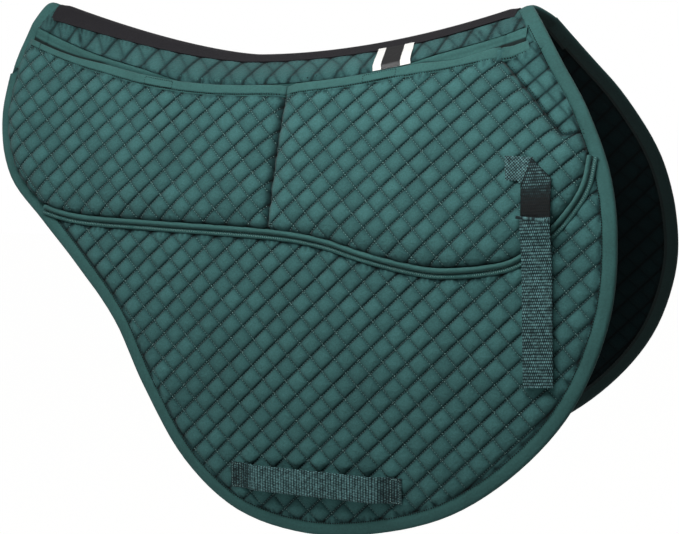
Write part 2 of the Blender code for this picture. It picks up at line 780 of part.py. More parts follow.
def girth_keeper():
    """A webbing loop sewn down at both ends and bowed off the quilting between them."""
    x, s = KEEPER_MIDDLE
    rest = PANEL_TOP + QUILT_PUFF + LAYER_GAP + KEEPER_THICKNESS / 2
    half = KEEPER_LENGTH / 2
    free = half - KEEPER_SEWN_END
    path = [(x - half, s, rest)]
    for k in range(5):
        share = k / 4
        bow = KEEPER_BOW * (1 - math.cos(math.pi * share)) / 2
        path.append((x - free + KEEPER_RAMP * share, s, rest + bow))
    path += [(2 * x - at, s, w) for at, s, w in reversed(path)]
    return wrapped(ribbon(path, Vector((0, -KEEPER_WIDTH / 2, 0)), KEEPER_THICKNESS))


# The strap hangs on the cover, comes down over the band and lies along the panel
OVER_COVER = COVER_TOP + QUILT_PUFF + LAYER_GAP + STRAP_THICKNESS / 2
OVER_PANEL = PANEL_TOP + QUILT_PUFF + STRAP_STANDOFF + STRAP_THICKNESS / 2
STRAP_DRAPE = [(0, 1), (0.13, 1), (0.23, 0.86), (0.29, 0.5), (0.36, 0.26), (0.48, 0), (0.75, 0), (1, 0)]


def strap_point(down, out):
    """A pattern point on the strap's middle, this far down from its top fold."""
    share = down / STRAP_LENGTH
    lift = 0
    for (before, high), (after, low) in zip(STRAP_DRAPE, STRAP_DRAPE[1:]):
        if before <= share <= after + 1e-6:
            lift = high + (low - high) * (share - before) / (after - before)
    height = OVER_PANEL + (OVER_COVER - OVER_PANEL) * lift
    x = STRAP_X + down * math.sin(STRAP_TILT)
    return Vector((x, STRAP_TOP_S - down * math.cos(STRAP_TILT), height + out))


def strap_ribbon(start, out):
    """Webbing along the strap from this far down it to its lower end."""
    stations = [share * STRAP_LENGTH for share, _ in STRAP_DRAPE if share * STRAP_LENGTH > start + MM]
    across = Vector((math.cos(STRAP_TILT), math.sin(STRAP_TILT), 0)) * STRAP_WIDTH / 2
    path = [strap_point(down, out) for down in (start, *stations)]
    return wrapped(ribbon(path, across, STRAP_THICKNESS))


def billet_tab():
    """The folded webbing that is sewn to the front pocket and carries the strap."""
    half = STRAP_WIDTH / 2
    low = OVER_COVER - STRAP_THICKNESS / 2
    across = Vector((math.cos(STRAP_TILT), math.sin(STRAP_TILT)))
    fold = Vector((STRAP_X, STRAP_TOP_S)) + 2 * LAYER_GAP * Vector((-across.y, across.x))
    top = fold.y + TAB_LENGTH
    outline = [
        fold + half * across, fold + half * across + Vector((0, 0.25 * TAB_LENGTH)),
        Vector((fold.x - 0.2 * half, top)), Vector((fold.x - 2 * half, top)),
        Vector((fold.x - 2 * half, fold.y + 0.1 * TAB_LENGTH)), fold - half * across,
    ]
    return wrapped(prism(outline, low, low + 2 * STRAP_THICKNESS))


def finished(mesh, look, origin):
    """The mesh with its material, moved so that this point is its origin."""
    mesh.transform(Matrix.Translation(-origin))
    mesh.materials.append(look)
    return mesh


def place(name, mesh, parent, at):
    """An object with its origin at this point of its parent's own frame."""
    made = bpy.data.objects.new(name, mesh)
    made.location = at
    made.parent = parent
    parts.objects.link(made)
    return made


for old in list(bpy.data.objects):
    bpy.data.objects.remove(old)
parts = collection("correction_saddle_pad")

cotton = material("brushed_cotton", (0.011, 0.052, 0.048), 0.85)
lining_cotton = material("lining_cotton", (0.010, 0.045, 0.042), 0.9)
tape = material("cotton_tape", (0.009, 0.047, 0.043), 0.8)
webbing = material("black_webbing", (0.008, 0.007, 0.008), 0.7)
strap_webbing = material("strap_webbing", (0.025, 0.062, 0.055), 0.75)
hook_and_loop = material("hook_and_loop", (0.010, 0.030, 0.028), 0.9)
foam = material("insert_foam", (0.15, 0.16, 0.17), 0.9)
satin = material("woven_label", (0.75, 0.74, 0.70), 0.5)

back = Vector((0, 0, 0))
spine = place("spine_frame", None, None, back)
spine_pieces = {
    "spine_lining": (spine_lining(), lining_cotton),
    "spine_strip": (spine_strip(), cotton),
    "spine_webbing": (spine_webbing(), webbing),
    "front_spine_binding": (spine_binding(True), tape),
    "rear_spine_binding": (spine_binding(False), tape),
    "woven_label": (label(), satin),
}
for name, (mesh, look) in spine_pieces.items():
    place(name, finished(mesh, look, back), spine, back)

hinge = on_side(0, HINGE_HEIGHT, HINGE_OUT)
barrel_axis = Vector((0, -BARREL_Y, BARREL_Z))
strap_fold = on_side(*strap_point(0, 1.5 * STRAP_THICKNESS + LAYER_GAP))
strap_end = on_side(*strap_point(STRAP_LENGTH, (STRAP_THICKNESS + FLAP_GAP) / 2))
side_pieces = {
    "lining": (side_lining(), lining_cotton, hinge),
    "panel": (side_panel(), cotton, hinge),
    "facing": (facing(), cotton, hinge),
    "rear_pocket_cover": (pocket_cover(False), cotton, hinge),
    "front_pocket_cover": (pocket_cover(True), cotton, hinge),
    "rear_pocket_hem": (hem(False), tape, hinge),
    "front_pocket_hem": (hem(True), tape, hinge),
    "front_wedge": (front_wedge(), cotton, hinge),
    "pocket_lower_band": (lower_band(), tape, hinge),
    "edge_binding": (edge_binding(), tape, hinge),
    "rear_loop_patch": (patch(REAR_PATCH_X, FACING_TOP + LAYER_GAP), hook_and_loop, hinge),
    "front_loop_patch": (patch(FRONT_PATCH_X, FACING_TOP + LAYER_GAP), hook_and_loop, hinge),
    "rear_hook_patch": (patch(REAR_PATCH_X, HOOK_LOW), hook_and_loop, hinge),
    "front_hook_patch": (patch(FRONT_PATCH_X, HOOK_LOW), hook_and_loop, hinge),
    "girth_keeper": (girth_keeper(), strap_webbing, hinge),
    "billet_tab": (billet_tab(), strap_webbing, hinge),
    "rear_insert": (insert(False), foam, barrel_axis),
    "front_insert": (insert(True), foam, barrel_axis),
}
for name, (mesh, look, origin) in side_pieces.items():
    finished(mesh, look, origin)
strap_mesh = finished(strap_ribbon(0, 0), strap_webbing, strap_fold)
flap = strap_ribbon(STRAP_LENGTH - FLAP_LENGTH, STRAP_THICKNESS + FLAP_GAP)
flap_mesh = finished(flap, strap_webbing, strap_end)

# The left side is the right one mirrored, so its pivot turns Y round
for side, turn in (("right", 1), ("left", -1)):
    pivot = place(side + "_side_pivot", None, None, (hinge.x, hinge.y * turn, hinge.z))
    pivot.scale.y = turn
    for name, (mesh, _, origin) in side_pieces.items():
        place(side + "_" + name, mesh, pivot, origin - hinge)
    strap = place(side + "_billet_strap", strap_mesh, pivot, strap_fold - hinge)
    place(side + "_strap_flap", flap_mesh, strap, strap_end - strap_fold)
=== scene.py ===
# Correction saddle pad, dressed for rendering. The imported model is the frame, and each piece of cloth,
# webbing, tape and foam is made here as what it is, in place of the frame's parts; only the pieces without a bend ride
# on an empty for their body.
# Lengths are in millimetres in the flat pattern of a side: x forward, s up from the spine seam, w outwards.
import math

import bpy
import numpy as np
from mathutils import Matrix, Vector


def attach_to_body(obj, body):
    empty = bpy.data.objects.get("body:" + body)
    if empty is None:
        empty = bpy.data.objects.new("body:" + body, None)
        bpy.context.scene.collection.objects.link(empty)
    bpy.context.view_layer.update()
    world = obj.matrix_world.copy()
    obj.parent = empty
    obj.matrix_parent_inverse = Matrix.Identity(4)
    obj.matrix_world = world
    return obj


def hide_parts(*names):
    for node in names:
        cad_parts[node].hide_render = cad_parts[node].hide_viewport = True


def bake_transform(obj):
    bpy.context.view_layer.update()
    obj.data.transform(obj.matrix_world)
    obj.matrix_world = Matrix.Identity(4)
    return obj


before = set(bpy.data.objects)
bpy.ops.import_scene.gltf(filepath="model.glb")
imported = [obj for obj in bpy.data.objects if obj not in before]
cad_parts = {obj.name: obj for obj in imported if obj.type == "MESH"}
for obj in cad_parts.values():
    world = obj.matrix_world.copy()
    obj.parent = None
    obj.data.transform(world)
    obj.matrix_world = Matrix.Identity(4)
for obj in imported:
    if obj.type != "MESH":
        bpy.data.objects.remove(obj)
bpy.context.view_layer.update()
print("frame loaded")

# The barrel that the sides lie on, the seam between a side and the spine, and the crest
shape = {
    "barrelRadius": 960.0, "seamAngle": math.radians(28.5), "seamHalfWidth": 62.0, "seamBelowCrest": 18.0,
    "seamLow": -60.0, "seamRear": -357.0, "seamFront": 262.0, "seamRearRise": 73.0, "seamFrontRise": 66.0,
    "crestLow": -75.0, "crestRearRise": 66.0, "crestRearPower": 1.45, "crestFrontRise": 53.0,
    "crestFrontPower": 1.9, "rearSetback": 10.0, "frontSetback": 19.0, "ridgeRound": 8.0,
}
cloth = {
    "square": 19.0, "puff": 2.6, "panelTop": 8.0, "boundTop": 5.0, "facing": 11.0, "hem": 13.0, "bandHalf": 5.5,
    "pocketTop": 20.4, "pocketEdge": 11.2, "crownWidth": 30.0, "divider": -5.0, "sewnMargin": 14.0,
    "boxRear": -160.0, "boxFront": 102.0, "boxHalf": 18.0,
}
edgePoints = [
    (-357, 73), (-366, 19), (-365, -51), (-340, -115), (-289, -164), (-240, -210), (-185, -269), (-143, -341),
    (-93, -415), (-30, -464), (50, -481), (130, -472), (210, -444), (280, -392), (333, -326), (362, -249),
    (367, -178), (355, -103), (324, -32), (290, 22), (263, 66),
]
bandPoints = [
    (-300, -150), (-241, -163), (-140, -167), (-5, -171), (57, -178), (104, -190), (150, -199), (190, -203),
    (238, -198), (273, -187), (305, -157), (324, -131), (334, -108), (337, -80),
]
frontSeamPoints = [(234, 18), (252, -1), (268, -19), (290, -44), (302, -56.5), (305.5, -60), (310, -59), (330, -54)]

rootTwo = math.sqrt(2)
square, divider, facing = cloth["square"], cloth["divider"], cloth["facing"]
hemBase = facing + cloth["hem"]
seamRear, seamFront = shape["seamRear"], shape["seamFront"]
bothEnds = ((False, "rear"), (True, "front"))


# Curves

def unit(vectors):
    return vectors / np.linalg.norm(vectors, axis=-1)[..., None]


def leftOf(along):
    return np.stack([-along[:, 1], along[:, 0]], 1)


def lengthAlong(path):
    return np.concatenate([[0], np.cumsum(np.linalg.norm(np.diff(path, axis=0), axis=1))])


def seamHeight(x):
    rear = shape["seamRearRise"] * ((x - shape["seamLow"]) / (seamRear - shape["seamLow"])) ** 2
    front = shape["seamFrontRise"] * ((x - shape["seamLow"]) / (seamFront - shape["seamLow"])) ** 2
    return np.where(x < shape["seamLow"], rear, front)


def curveThrough(points, steps=6):
    through = np.array(points, float)
    through = np.vstack([2 * through[0] - through[1], through, 2 * through[-1] - through[-2]])
    a, b, c, d = (through[i:len(through) - 3 + i, None] for i in range(4))
    t = (np.arange(steps) / steps)[None, :, None]
    curve = b + ((c - a) * t + (2 * a - 5 * b + 4 * c - d) * t**2 + (3 * b - a - 3 * c + d) * t**3) / 2
    return np.vstack([curve.reshape(-1, through.shape[1]), through[-2]])


def spaced(path, step):
    length = lengthAlong(path)
    stops = np.linspace(0, length[-1], max(2, round(length[-1] / step) + 1))
    return np.stack([np.interp(stops, length, path[:, i]) for i in range(path.shape[1])], 1)


def shifted(path, left):
    return path + left * leftOf(unit(np.gradient(path, axis=0)))


def belowSeam(start, end, below, step=4.0):
    x = np.linspace(start, end, max(2, round(abs(end - start) / step) + 1))
    return np.stack([x, seamHeight(x) - below], 1)


edge, band, frontSeam = (curveThrough(points) for points in (edgePoints, bandPoints, frontSeamPoints))


def distanceTo(path, x, s, closed=False):
    best = np.full(x.shape, 1e9)
    inside = np.zeros(x.shape, bool)
    ends = np.roll(path, -1, 0) if closed else path[1:]
    for (ax, ay), (bx, by) in zip(path, ends):
        dx, dy = bx - ax, by - ay
        t = np.clip(((x - ax) * dx + (s - ay) * dy) / max(dx * dx + dy * dy, 1e-9), 0, 1)
        best = np.minimum(best, np.hypot(x - ax - t * dx, s - ay - t * dy))
        if closed and ay != by:
            inside ^= ((ay > s) != (by > s)) & (x < ax + dx * (s - ay) / dy)
    return np.where(inside, best, -best) if closed else best


def depthIn(ring, x, s):
    # Depth inside a closed outline, negative outside it
    return distanceTo(ring, x, s, closed=True)


def ramp(value, low, high):
    t = np.clip((value - low) / (high - low), 0, 1)
    return t * t * (3 - 2 * t)


def bell(value, width):
    return np.exp(-(value / width) ** 2)


# Smooth noise from a small table of random values, the same each run
noiseTable = np.random.default_rng(11).uniform(-1, 1, (64, 64))


def noise(x, y, scale, layer=0):
    u, v = x / scale + 17.3 * layer + 900, y / scale + 9.7 * layer + 900
    i, j = np.floor(u).astype(int), np.floor(v).astype(int)
    a, b = (t * t * (3 - 2 * t) for t in (u - i, v - j))
    low, high = (noiseTable[i % 64, row % 64] * (1 - a) + noiseTable[(i + 1) % 64, row % 64] * a for row in (j, j + 1))
    return low * (1 - b) + high * b


def wandered(flat):
    # Sewing is never quite square: the rows wander by a fraction of a millimetre
    return flat + 0.7 * np.stack([noise(flat[:, 0], flat[:, 1], 60, layer) for layer in (1, 2)], 1)


def pillow(x, s):
    # A square of quilting: nearly flat, with a sharp sewn valley on each side and a slight crown
    p, q = (x + s) / rootTwo / square, (s - x) / rootTwo / square
    across = [np.abs(v - np.round(v)) * square for v in (p, q)]
    # The second pass of stitching is drawn tighter than the first
    walls = (1 - 0.75 * np.exp(-across[0] / 1.5)) * (1 - np.exp(-across[1] / 2.2))
    crown = np.abs(np.sin(math.pi * p) * np.sin(math.pi * q))
    uneven = 1 + 0.18 * noiseTable[np.floor(p).astype(int) % 64, np.floor(q).astype(int) % 64]
    return (0.78 * walls + 0.22 * crown) * uneven


# From the flat pattern to the pad

barrelY = shape["seamHalfWidth"] - shape["barrelRadius"] * math.cos(shape["seamAngle"])
barrelZ = -shape["seamBelowCrest"] - shape["barrelRadius"] * math.sin(shape["seamAngle"])


def onSide(points):
    x, s, w = np.moveaxis(np.asarray(points, float), -1, 0)
    angle = shape["seamAngle"] + s / shape["barrelRadius"]
    reach = shape["barrelRadius"] + w
    return np.stack([x, -barrelY - reach * np.cos(angle), barrelZ + reach * np.sin(angle)], -1) / 1000


def spineEnd(share, front):
    # Where the pad ends, from the crest (share 0) to the seam (share 1)
    if front:
        return seamFront - shape["frontSetback"] * (1 - share)
    return seamRear + shape["rearSetback"] * (1 - share)


def crestHeight(x):
    low = shape["crestLow"]
    rear, front = (shape[end + "Rise"] * np.maximum((x - low) / (spineEnd(0, isFront) - low), 0) ** shape[end + "Power"]
                   for isFront, end in ((False, "crestRear"), (True, "crestFront")))
    return np.where(x < low, rear, front)


def seamPoint(x, w):
    return onSide(np.stack([x, seamHeight(x) + 0.5, w + 0 * x], -1)) * 1000


def halfArc(x):
    base = seamPoint(x, 0)
    return np.hypot(base[..., 1], crestHeight(x) - base[..., 2])


def onSpine(points):
    # Spine pattern: x forward, t across from the crest, negative on the right, w outwards
    x, t, w = np.moveaxis(np.asarray(points, float), -1, 0)
    base = seamPoint(x, 0)
    seamOut = unit(seamPoint(x, cloth["panelTop"]) - base)
    half, rise = -base[..., 1], crestHeight(x) - base[..., 2]

    def drop(across):
        return np.hypot(across, shape["ridgeRound"]) - shape["ridgeRound"]

    def arch(share):
        return share * half, crestHeight(x) - rise * (drop(share * half) / drop(half))

    share = np.minimum(np.abs(t / halfArc(x)), 1)
    (y, z), (y1, z1), (y0, z0) = (arch(share + step) for step in (0, 1e-3, -1e-3))
    slope = np.hypot(y1 - y0, z1 - z0)
    outY, outZ = (z0 - z1) / slope, (y1 - y0) / slope
    turn = np.clip((share - 0.75) / 0.25, 0, 1)
    outY, outZ = outY + (-seamOut[..., 1] - outY) * turn, outZ + (seamOut[..., 2] - outZ) * turn
    size = np.hypot(outY, outZ)
    found = np.stack([x, y + w * outY / size, z + w * outZ / size], -1) / 1000
    beyond = np.abs(t) - halfArc(x)
    below = onSide(np.stack([x, seamHeight(x) + 0.5 - beyond, w], -1)) * [1, -1, 1]
    found = np.where((beyond > 0)[..., None], below, found)
    found[..., 1] *= np.sign(t)
    return found


# Meshes

def closedFaces(faces, count):
    # The top faces, the same turned over for the bottom, and a wall along each free edge
    edges = set()
    for face in faces:
        edges.update(zip(face, [*face[1:], face[0]]))
    walls = [(a + count, b + count, b, a) for a, b in edges if (b, a) not in edges]
    return faces + [tuple(i + count for i in reversed(face)) for face in faces] + sorted(walls)


# Mesh lines lie close together by each row of stitches, so that the cloth folds sharply there
quiltCuts = np.array([0, 0.045, 0.12, 0.26, 0.5, 0.74, 0.88, 0.955])
plainCuts = np.array([0, 0.25, 0.5, 0.75])
webbingCuts = np.array([0, 0.5])


def clothBody(distance, ring, top, bottom, cuts=quiltCuts, square=square, turned=True):
    # Cloth where distance is above 0, within the bounds of ring, with its mesh lines along the quilting
    low, high = np.min(ring, 0), np.max(ring, 0)
    corners = np.array([(x, s) for x in (low[0], high[0]) for s in (low[1], high[1])], float)
    if turned:
        corners = np.stack([corners.sum(1), corners[:, 1] - corners[:, 0]], 1) / rootTwo
    first, last = np.floor(corners.min(0) / square), np.ceil(corners.max(0) / square)
    lines = [((np.arange(first[i], last[i])[:, None] + cuts) * square).ravel() for i in (0, 1)]
    p, q = np.meshgrid(*lines, indexing="ij")
    x, s = ((p - q) / rootTwo, (p + q) / rootTwo) if turned else (p, q)
    d = distance(x, s)
    d[np.abs(d) < 0.05] = 0.05
    inside = d > 0
    index = np.full(d.shape, -1)
    index[inside] = np.arange(inside.sum())
    flat = [np.stack([x[inside], s[inside]], 1)]
    count = len(flat[0])
    crossed = []
    most, rest, whole = slice(None, -1), slice(1, None), slice(None)
    for a, b in (((most, whole), (rest, whole)), ((whole, most), (whole, rest))):
        cut = inside[a] != inside[b]
        t = (d[a] / np.where(cut, d[a] - d[b], 1))[cut]
        flat.append(np.stack([x[a][cut] + (x[b] - x[a])[cut] * t, s[a][cut] + (s[b] - s[a])[cut] * t], 1))
        numbers = np.full(cut.shape, -1)
        numbers[cut] = count + np.arange(cut.sum())
        count += int(cut.sum())
        crossed.append(numbers)
    flat = np.vstack(flat)
    around = ((most, most), (rest, most), (rest, rest), (most, rest))
    full = np.all([inside[at] for at in around], 0)
    part = np.any([inside[at] for at in around], 0) & ~full
    faces = [tuple(quad) for quad in np.stack([index[at][full] for at in around], 1).tolist()]
    for i, j in zip(*(axis.tolist() for axis in np.nonzero(part))):
        numbers = (index[i, j], crossed[0][i, j], index[i + 1, j], crossed[1][i + 1, j],
                   index[i + 1, j + 1], crossed[0][i, j + 1], index[i, j + 1], crossed[1][i, j])
        face = tuple(int(n) for n in numbers if n >= 0)
        if len(face) > 2:
            faces.append(face)
    heights = [surface(flat[:, 0], flat[:, 1]) for surface in (top, bottom)]
    flat = wandered(flat)
    points = np.vstack([np.column_stack([flat, w]) for w in heights])
    return points, closedFaces(faces, len(flat)), len(faces)


def gridBody(top, bottom):
    n, m = top.shape[:2]
    index = np.arange(n * m).reshape(n, m)
    quads = np.stack([index[:-1, :-1], index[1:, :-1], index[1:, 1:], index[:-1, 1:]], -1).reshape(-1, 4)
    faces = [tuple(quad) for quad in quads.tolist()]
    return np.vstack([top.reshape(-1, 3), bottom.reshape(-1, 3)]), closedFaces(faces, n * m), len(faces)


def sheetBody(flat, over, under):
    return gridBody(*(np.dstack([flat, w + 0 * flat[..., 0]]) for w in (over, under)))


def gridBelow(x, below):
    # A grid in the flat pattern: places along the seam, and depths below it
    return np.stack(np.broadcast_arrays(x[:, None], seamHeight(x)[:, None] - below[None]), -1)


def plainWeave(rows, columns):
    # Up and down by turns, thread by thread
    return np.cos(math.pi * np.add.outer(np.arange(rows), np.arange(columns)))


def sweptBody(path, profile, lift):
    # A closed profile of (left, w) carried along a flat path. Lift gives what to add to w at (length, left).
    left = leftOf(unit(np.gradient(path, axis=0)))
    n, m = len(path), len(profile)
    reach = profile[:, 0][None]
    w = np.repeat(profile[:, 1][None], n, 0) + lift(lengthAlong(path)[:, None], reach)
    points = np.dstack([path[:, None] + left[:, None] * reach[..., None], w]).reshape(-1, 3)
    faces = [(i * m + j, (i + 1) * m + j, (i + 1) * m + (j + 1) % m, i * m + (j + 1) % m)
             for i in range(n - 1) for j in range(m)]
    return points, [*faces, tuple(range(m)), tuple(range(n * m - 1, n * m - m - 1, -1))], len(faces)


# The real ribs are about 1.6 mm, drawn as coarse as they read in the photo
ribs = {"pitch": 3.0, "depth": 0.5, "columns": 33}


def pips(length, column):
    # Small raised floats of yarn, staggered from rib to rib
    row = np.abs(np.sin(math.pi * length / ribs["pitch"])) ** 0.7
    return row * (0.55 + 0.45 * np.cos(math.pi * (column + np.floor(length / ribs["pitch"]))))


def webbingBody(path, across, width, thickness):
    # Flat woven webbing along a path, with its ribs across it
    path = spaced(path, ribs["pitch"] / 4)
    up = unit(np.cross(unit(np.gradient(path, axis=0)), across))[:, None]
    length = np.arange(len(path)) * ribs["pitch"] / 4
    c = np.linspace(-0.5, 0.5, ribs["columns"])
    selvedge = np.clip((0.5 - np.abs(c)) * width / 1.2, 0, 1)[None]
    floats = ribs["depth"] * pips(length[:, None], np.arange(ribs["columns"])[None]) * selvedge
    height = (thickness / 2 * (0.35 + 0.65 * selvedge) + floats)[..., None]
    sway = 0.25 * noise(length, 0 * length, 25, 4)[:, None]
    middle = path[:, None] + across[None, None] * (c[None] * width + sway)[..., None]
    return gridBody(middle + up * height, middle - up * height)


def threadBody(starts, ends, radius):
    # One short spindle of thread for each stitch
    up = np.array([0.0, 0.0, 1.0])
    sideways = unit(np.cross(unit(ends - starts), up))
    middle = (starts + ends) / 2
    ring = [middle + radius * sideways, middle + radius * up, middle - radius * sideways, middle - radius * up]
    points = np.stack([starts - radius * 0.8 * up, *ring, ends - radius * 0.8 * up], 1).reshape(-1, 3)
    base = 6 * np.arange(len(starts))[:, None]
    corners = [three for j in range(4) for three in ([0, 1 + j, 1 + (j + 1) % 4], [5, 1 + (j + 1) % 4, 1 + j])]
    faces = np.concatenate([base + [three] for three in corners])
    return points, [tuple(face) for face in faces.tolist()], len(faces)


def together(bodies):
    points, faces, offset = [], [], 0
    for body in bodies:
        points.append(body[0])
        faces += [tuple(i + offset for i in face) for face in body[1]]
        offset += len(body[0])
    return np.vstack(points), faces, len(faces)


def stitchesAlong(path, height, pitch=3.2, length=2.3, radius=0.34, zigzag=0.0):
    path = spaced(np.asarray(path, float), pitch)
    flat = (path[1:] + path[:-1]) / 2
    along = unit(np.diff(path, axis=0))
    turn = np.where(np.arange(len(flat)) % 2, 1, -1)[:, None] * zigzag * leftOf(along)
    a, b = flat - along * length / 2 - turn, flat + along * length / 2 + turn
    heights = height(flat[:, 0], flat[:, 1]) if callable(height) else np.full(len(flat), height)
    return threadBody(np.column_stack([a, heights]), np.column_stack([b, heights]), radius)


# Colours and materials

def linear(code):
    values = [int(code[i:i + 2], 16) / 255 for i in (1, 3, 5)]
    return (*(v / 12.92 if v <= 0.04045 else ((v + 0.055) / 1.055) ** 2.4 for v in values), 1)


def addNode(tree, kind, inputs=None, **settings):
    node = tree.nodes.new("ShaderNode" + kind)
    for name, value in settings.items():
        setattr(node, name, value)
    for name, value in (inputs or {}).items():
        if isinstance(value, bpy.types.NodeSocket):
            tree.links.new(value, node.inputs[name])
        else:
            node.inputs[name].default_value = value
    return node


# Thread, fuzz and cloud are sizes in millimetres, and the rest are strengths
usualLook = {
    "sheen": 0.0, "specular": 0.2, "thread": 0.8, "weftRatio": 1, "fuzz": 1.5, "cloud": 20.0, "speckle": 0.1,
    "broad": 0.05, "weaveShade": 0.1, "bump": 0.3, "wrinkle": 0.2}


# The two colours are the cloth in painted shade and in painted light. A point attribute of painted light, shade and
# tone mixes them.
def fabric(name, shadedColour, top, **look):
    look = {**usualLook, **look}
    made = bpy.data.materials.new(name)
    made.use_nodes = True
    tree = made.node_tree
    shader = tree.nodes["Principled BSDF"]
    for socket, value in (("Roughness", look["roughness"]), ("Sheen Weight", look["sheen"]),
                          ("Sheen Roughness", 0.5), ("Specular IOR Level", look["specular"])):
        shader.inputs[socket].default_value = value
    pattern = addNode(tree, "Attribute", attribute_name="pattern").outputs["Vector"]
    tuft = addNode(tree, "Attribute", attribute_name="tuft").outputs["Fac"]
    # The wave texture repeats every pi / 10 of its scaled length
    warp, weft = (addNode(tree, "TexWave", {"Vector": pattern, "Scale": math.pi / 10 / period},
                          bands_direction=way).outputs["Fac"]
                  for way, period in (("X", look["thread"]), ("Y", look["thread"] * look["weftRatio"])))
    weave = addNode(tree, "Math", {0: warp, 1: weft}, operation="MULTIPLY").outputs[0]
    fuzz, cloudy, creases = (
        addNode(tree, "TexNoise", {"Vector": pattern, "Scale": scale, "Detail": detail, "Distortion": bent}).outputs["Fac"]
        for scale, detail, bent in ((1 / look["fuzz"], 3.0, 0.0), (1 / look["cloud"], 2.0, 0.0), (0.16, 2.0, 0.6)))
    # Painted light and shade: the colour runs from the cloth's shaded copy in the sewn valleys to its lit copy on the
    # tops
    litAndShadedColour = addNode(tree, "Mix", {"Factor": tuft, "A": linear(shadedColour), "B": linear(top)}, data_type="RGBA").outputs[2]
    # Below 0 that attribute darkens the colour further, as painted shade in creases, grooves and undersides
    light = None
    for value, start, end, low, high in (
            (fuzz, 0.3, 0.7, 1 - look["speckle"], 1 + look["speckle"]),
            (cloudy, 0.3, 0.7, 1 - look["broad"], 1 + look["broad"]),
            (weave, 0.0, 1.0, 1 - look["weaveShade"], 1.0),
            (tuft, -1.0, 0.0, 0.1, 1.0)):
        shade = addNode(tree, "MapRange", {"Value": value, "From Min": start, "From Max": end,
                                           "To Min": low, "To Max": high}).outputs[0]
        light = addNode(tree, "Math", {0: light, 1: shade}, operation="MULTIPLY").outputs[0] if light else shade
    colour = addNode(tree, "VectorMath", {0: litAndShadedColour, "Scale": light}, operation="SCALE").outputs[0]
    tree.links.new(colour, shader.inputs["Base Color"])
    height = addNode(tree, "Math", {0: weave, 1: fuzz}, operation="ADD").outputs[0]
    folds = addNode(tree, "Bump", {"Height": creases, "Strength": look["wrinkle"], "Distance": 0.003}).outputs[0]
    bump = addNode(tree, "Bump", {"Height": height, "Strength": look["bump"], "Distance": 0.0004, "Normal": folds})
    tree.links.new(bump.outputs[0], shader.inputs["Normal"])
    return made


# Brushed cotton drill over wadding: a soft matt nap with a faint sheen. The real thread is about 0.4 mm,
# drawn at 0.9 mm so that it shows.
cotton = fabric("brushedCottonDrill", "#1b3a3b", "#416f6e", roughness=0.92, sheen=0.08, thread=0.9, fuzz=1.6,
                cloud=45.0, speckle=0.14, broad=0.08, bump=0.35, wrinkle=0.5)
# Plain cotton lining, smoother, its colour darkened past the cloth's to paint the deep shade inside the pad
liningCotton = fabric("plainCottonLining", "#061012", "#0d1e20", roughness=0.95, sheen=0.02, specular=0.1,
                      thread=0.9, fuzz=2.0, cloud=60.0, speckle=0.12, broad=0.1, weaveShade=0.08, wrinkle=0.3)
# Folded cotton twill tape: flat, with a slightly brighter face than the quilting
tape = fabric("foldedCottonTape", "#2c5654", "#3c6865", roughness=0.85, sheen=0.08, specular=0.25, weftRatio=1.6,
              fuzz=2.4, cloud=30.0, broad=0.08)
# Polypropylene webbing in grey-green: hard, ribbed, with small floats; its light and dark colours are painted light on
# the floats and painted shade between them
greenWebbing = fabric("wovenGreenWebbing", "#10282b", "#7badaf", roughness=0.65, thread=1.1, fuzz=1.2, cloud=25.0,
                      speckle=0.25, weaveShade=0.2, bump=0.5)
# Flat black webbing with a faint warm cast
blackWebbing = fabric("wovenBlackWebbing", "#17161a", "#242227", roughness=0.75, sheen=0.03, specular=0.25,
                      thread=1.1, fuzz=1.4, speckle=0.2, broad=0.06, weaveShade=0.3, bump=0.5)
# Spun polyester sewing thread, about the cloth's colour, painted lighter as a painted highlight on the raised stitches
thread = fabric("spunSewingThread", "#5d8885", "#8bb0ac", roughness=0.55, specular=0.4, thread=0.5, fuzz=1.0, bump=0.1)
# The same thread, painted near black as painted shade where it is drawn deep into the tapes
shadedThread = fabric("sewingThreadInPaintedShade", "#081415", "#0f2324", roughness=0.8, specular=0.3, thread=0.5, fuzz=1.0,
                    bump=0.1)
# Hook and loop tape: a dense nap of nylon loops
hookLoop = fabric("napNylonHookAndLoop", "#172627", "#2b4243", roughness=0.8, sheen=0.2, specular=0.3, thread=1.0,
                  fuzz=0.8, cloud=12.0, speckle=0.35, weaveShade=0.4, bump=1.0)
# Pressed felt over foam: grey fibres with no weave
feltedFoam = fabric("pressedFeltFoam", "#6e7478", "#868c90", roughness=0.95, sheen=0.15, thread=3.0, fuzz=1.2,
                    cloud=18.0, speckle=0.2, broad=0.06, weaveShade=0.0, bump=0.5)
# Woven satin label: smooth and white, with a dark field
satin = fabric("wovenWhiteSatin", "#e6e5e1", "#f1f0ec", roughness=0.45, specular=0.5, cloud=15.0, speckle=0.03,
               broad=0.02, weaveShade=0.04, bump=0.12)
satinDark = fabric("wovenDarkSatin", "#141414", "#1f1e1f", roughness=0.45, specular=0.5, cloud=15.0, speckle=0.05,
                   broad=0.02, bump=0.12)
print("materials ready")


# Pieces on the frame

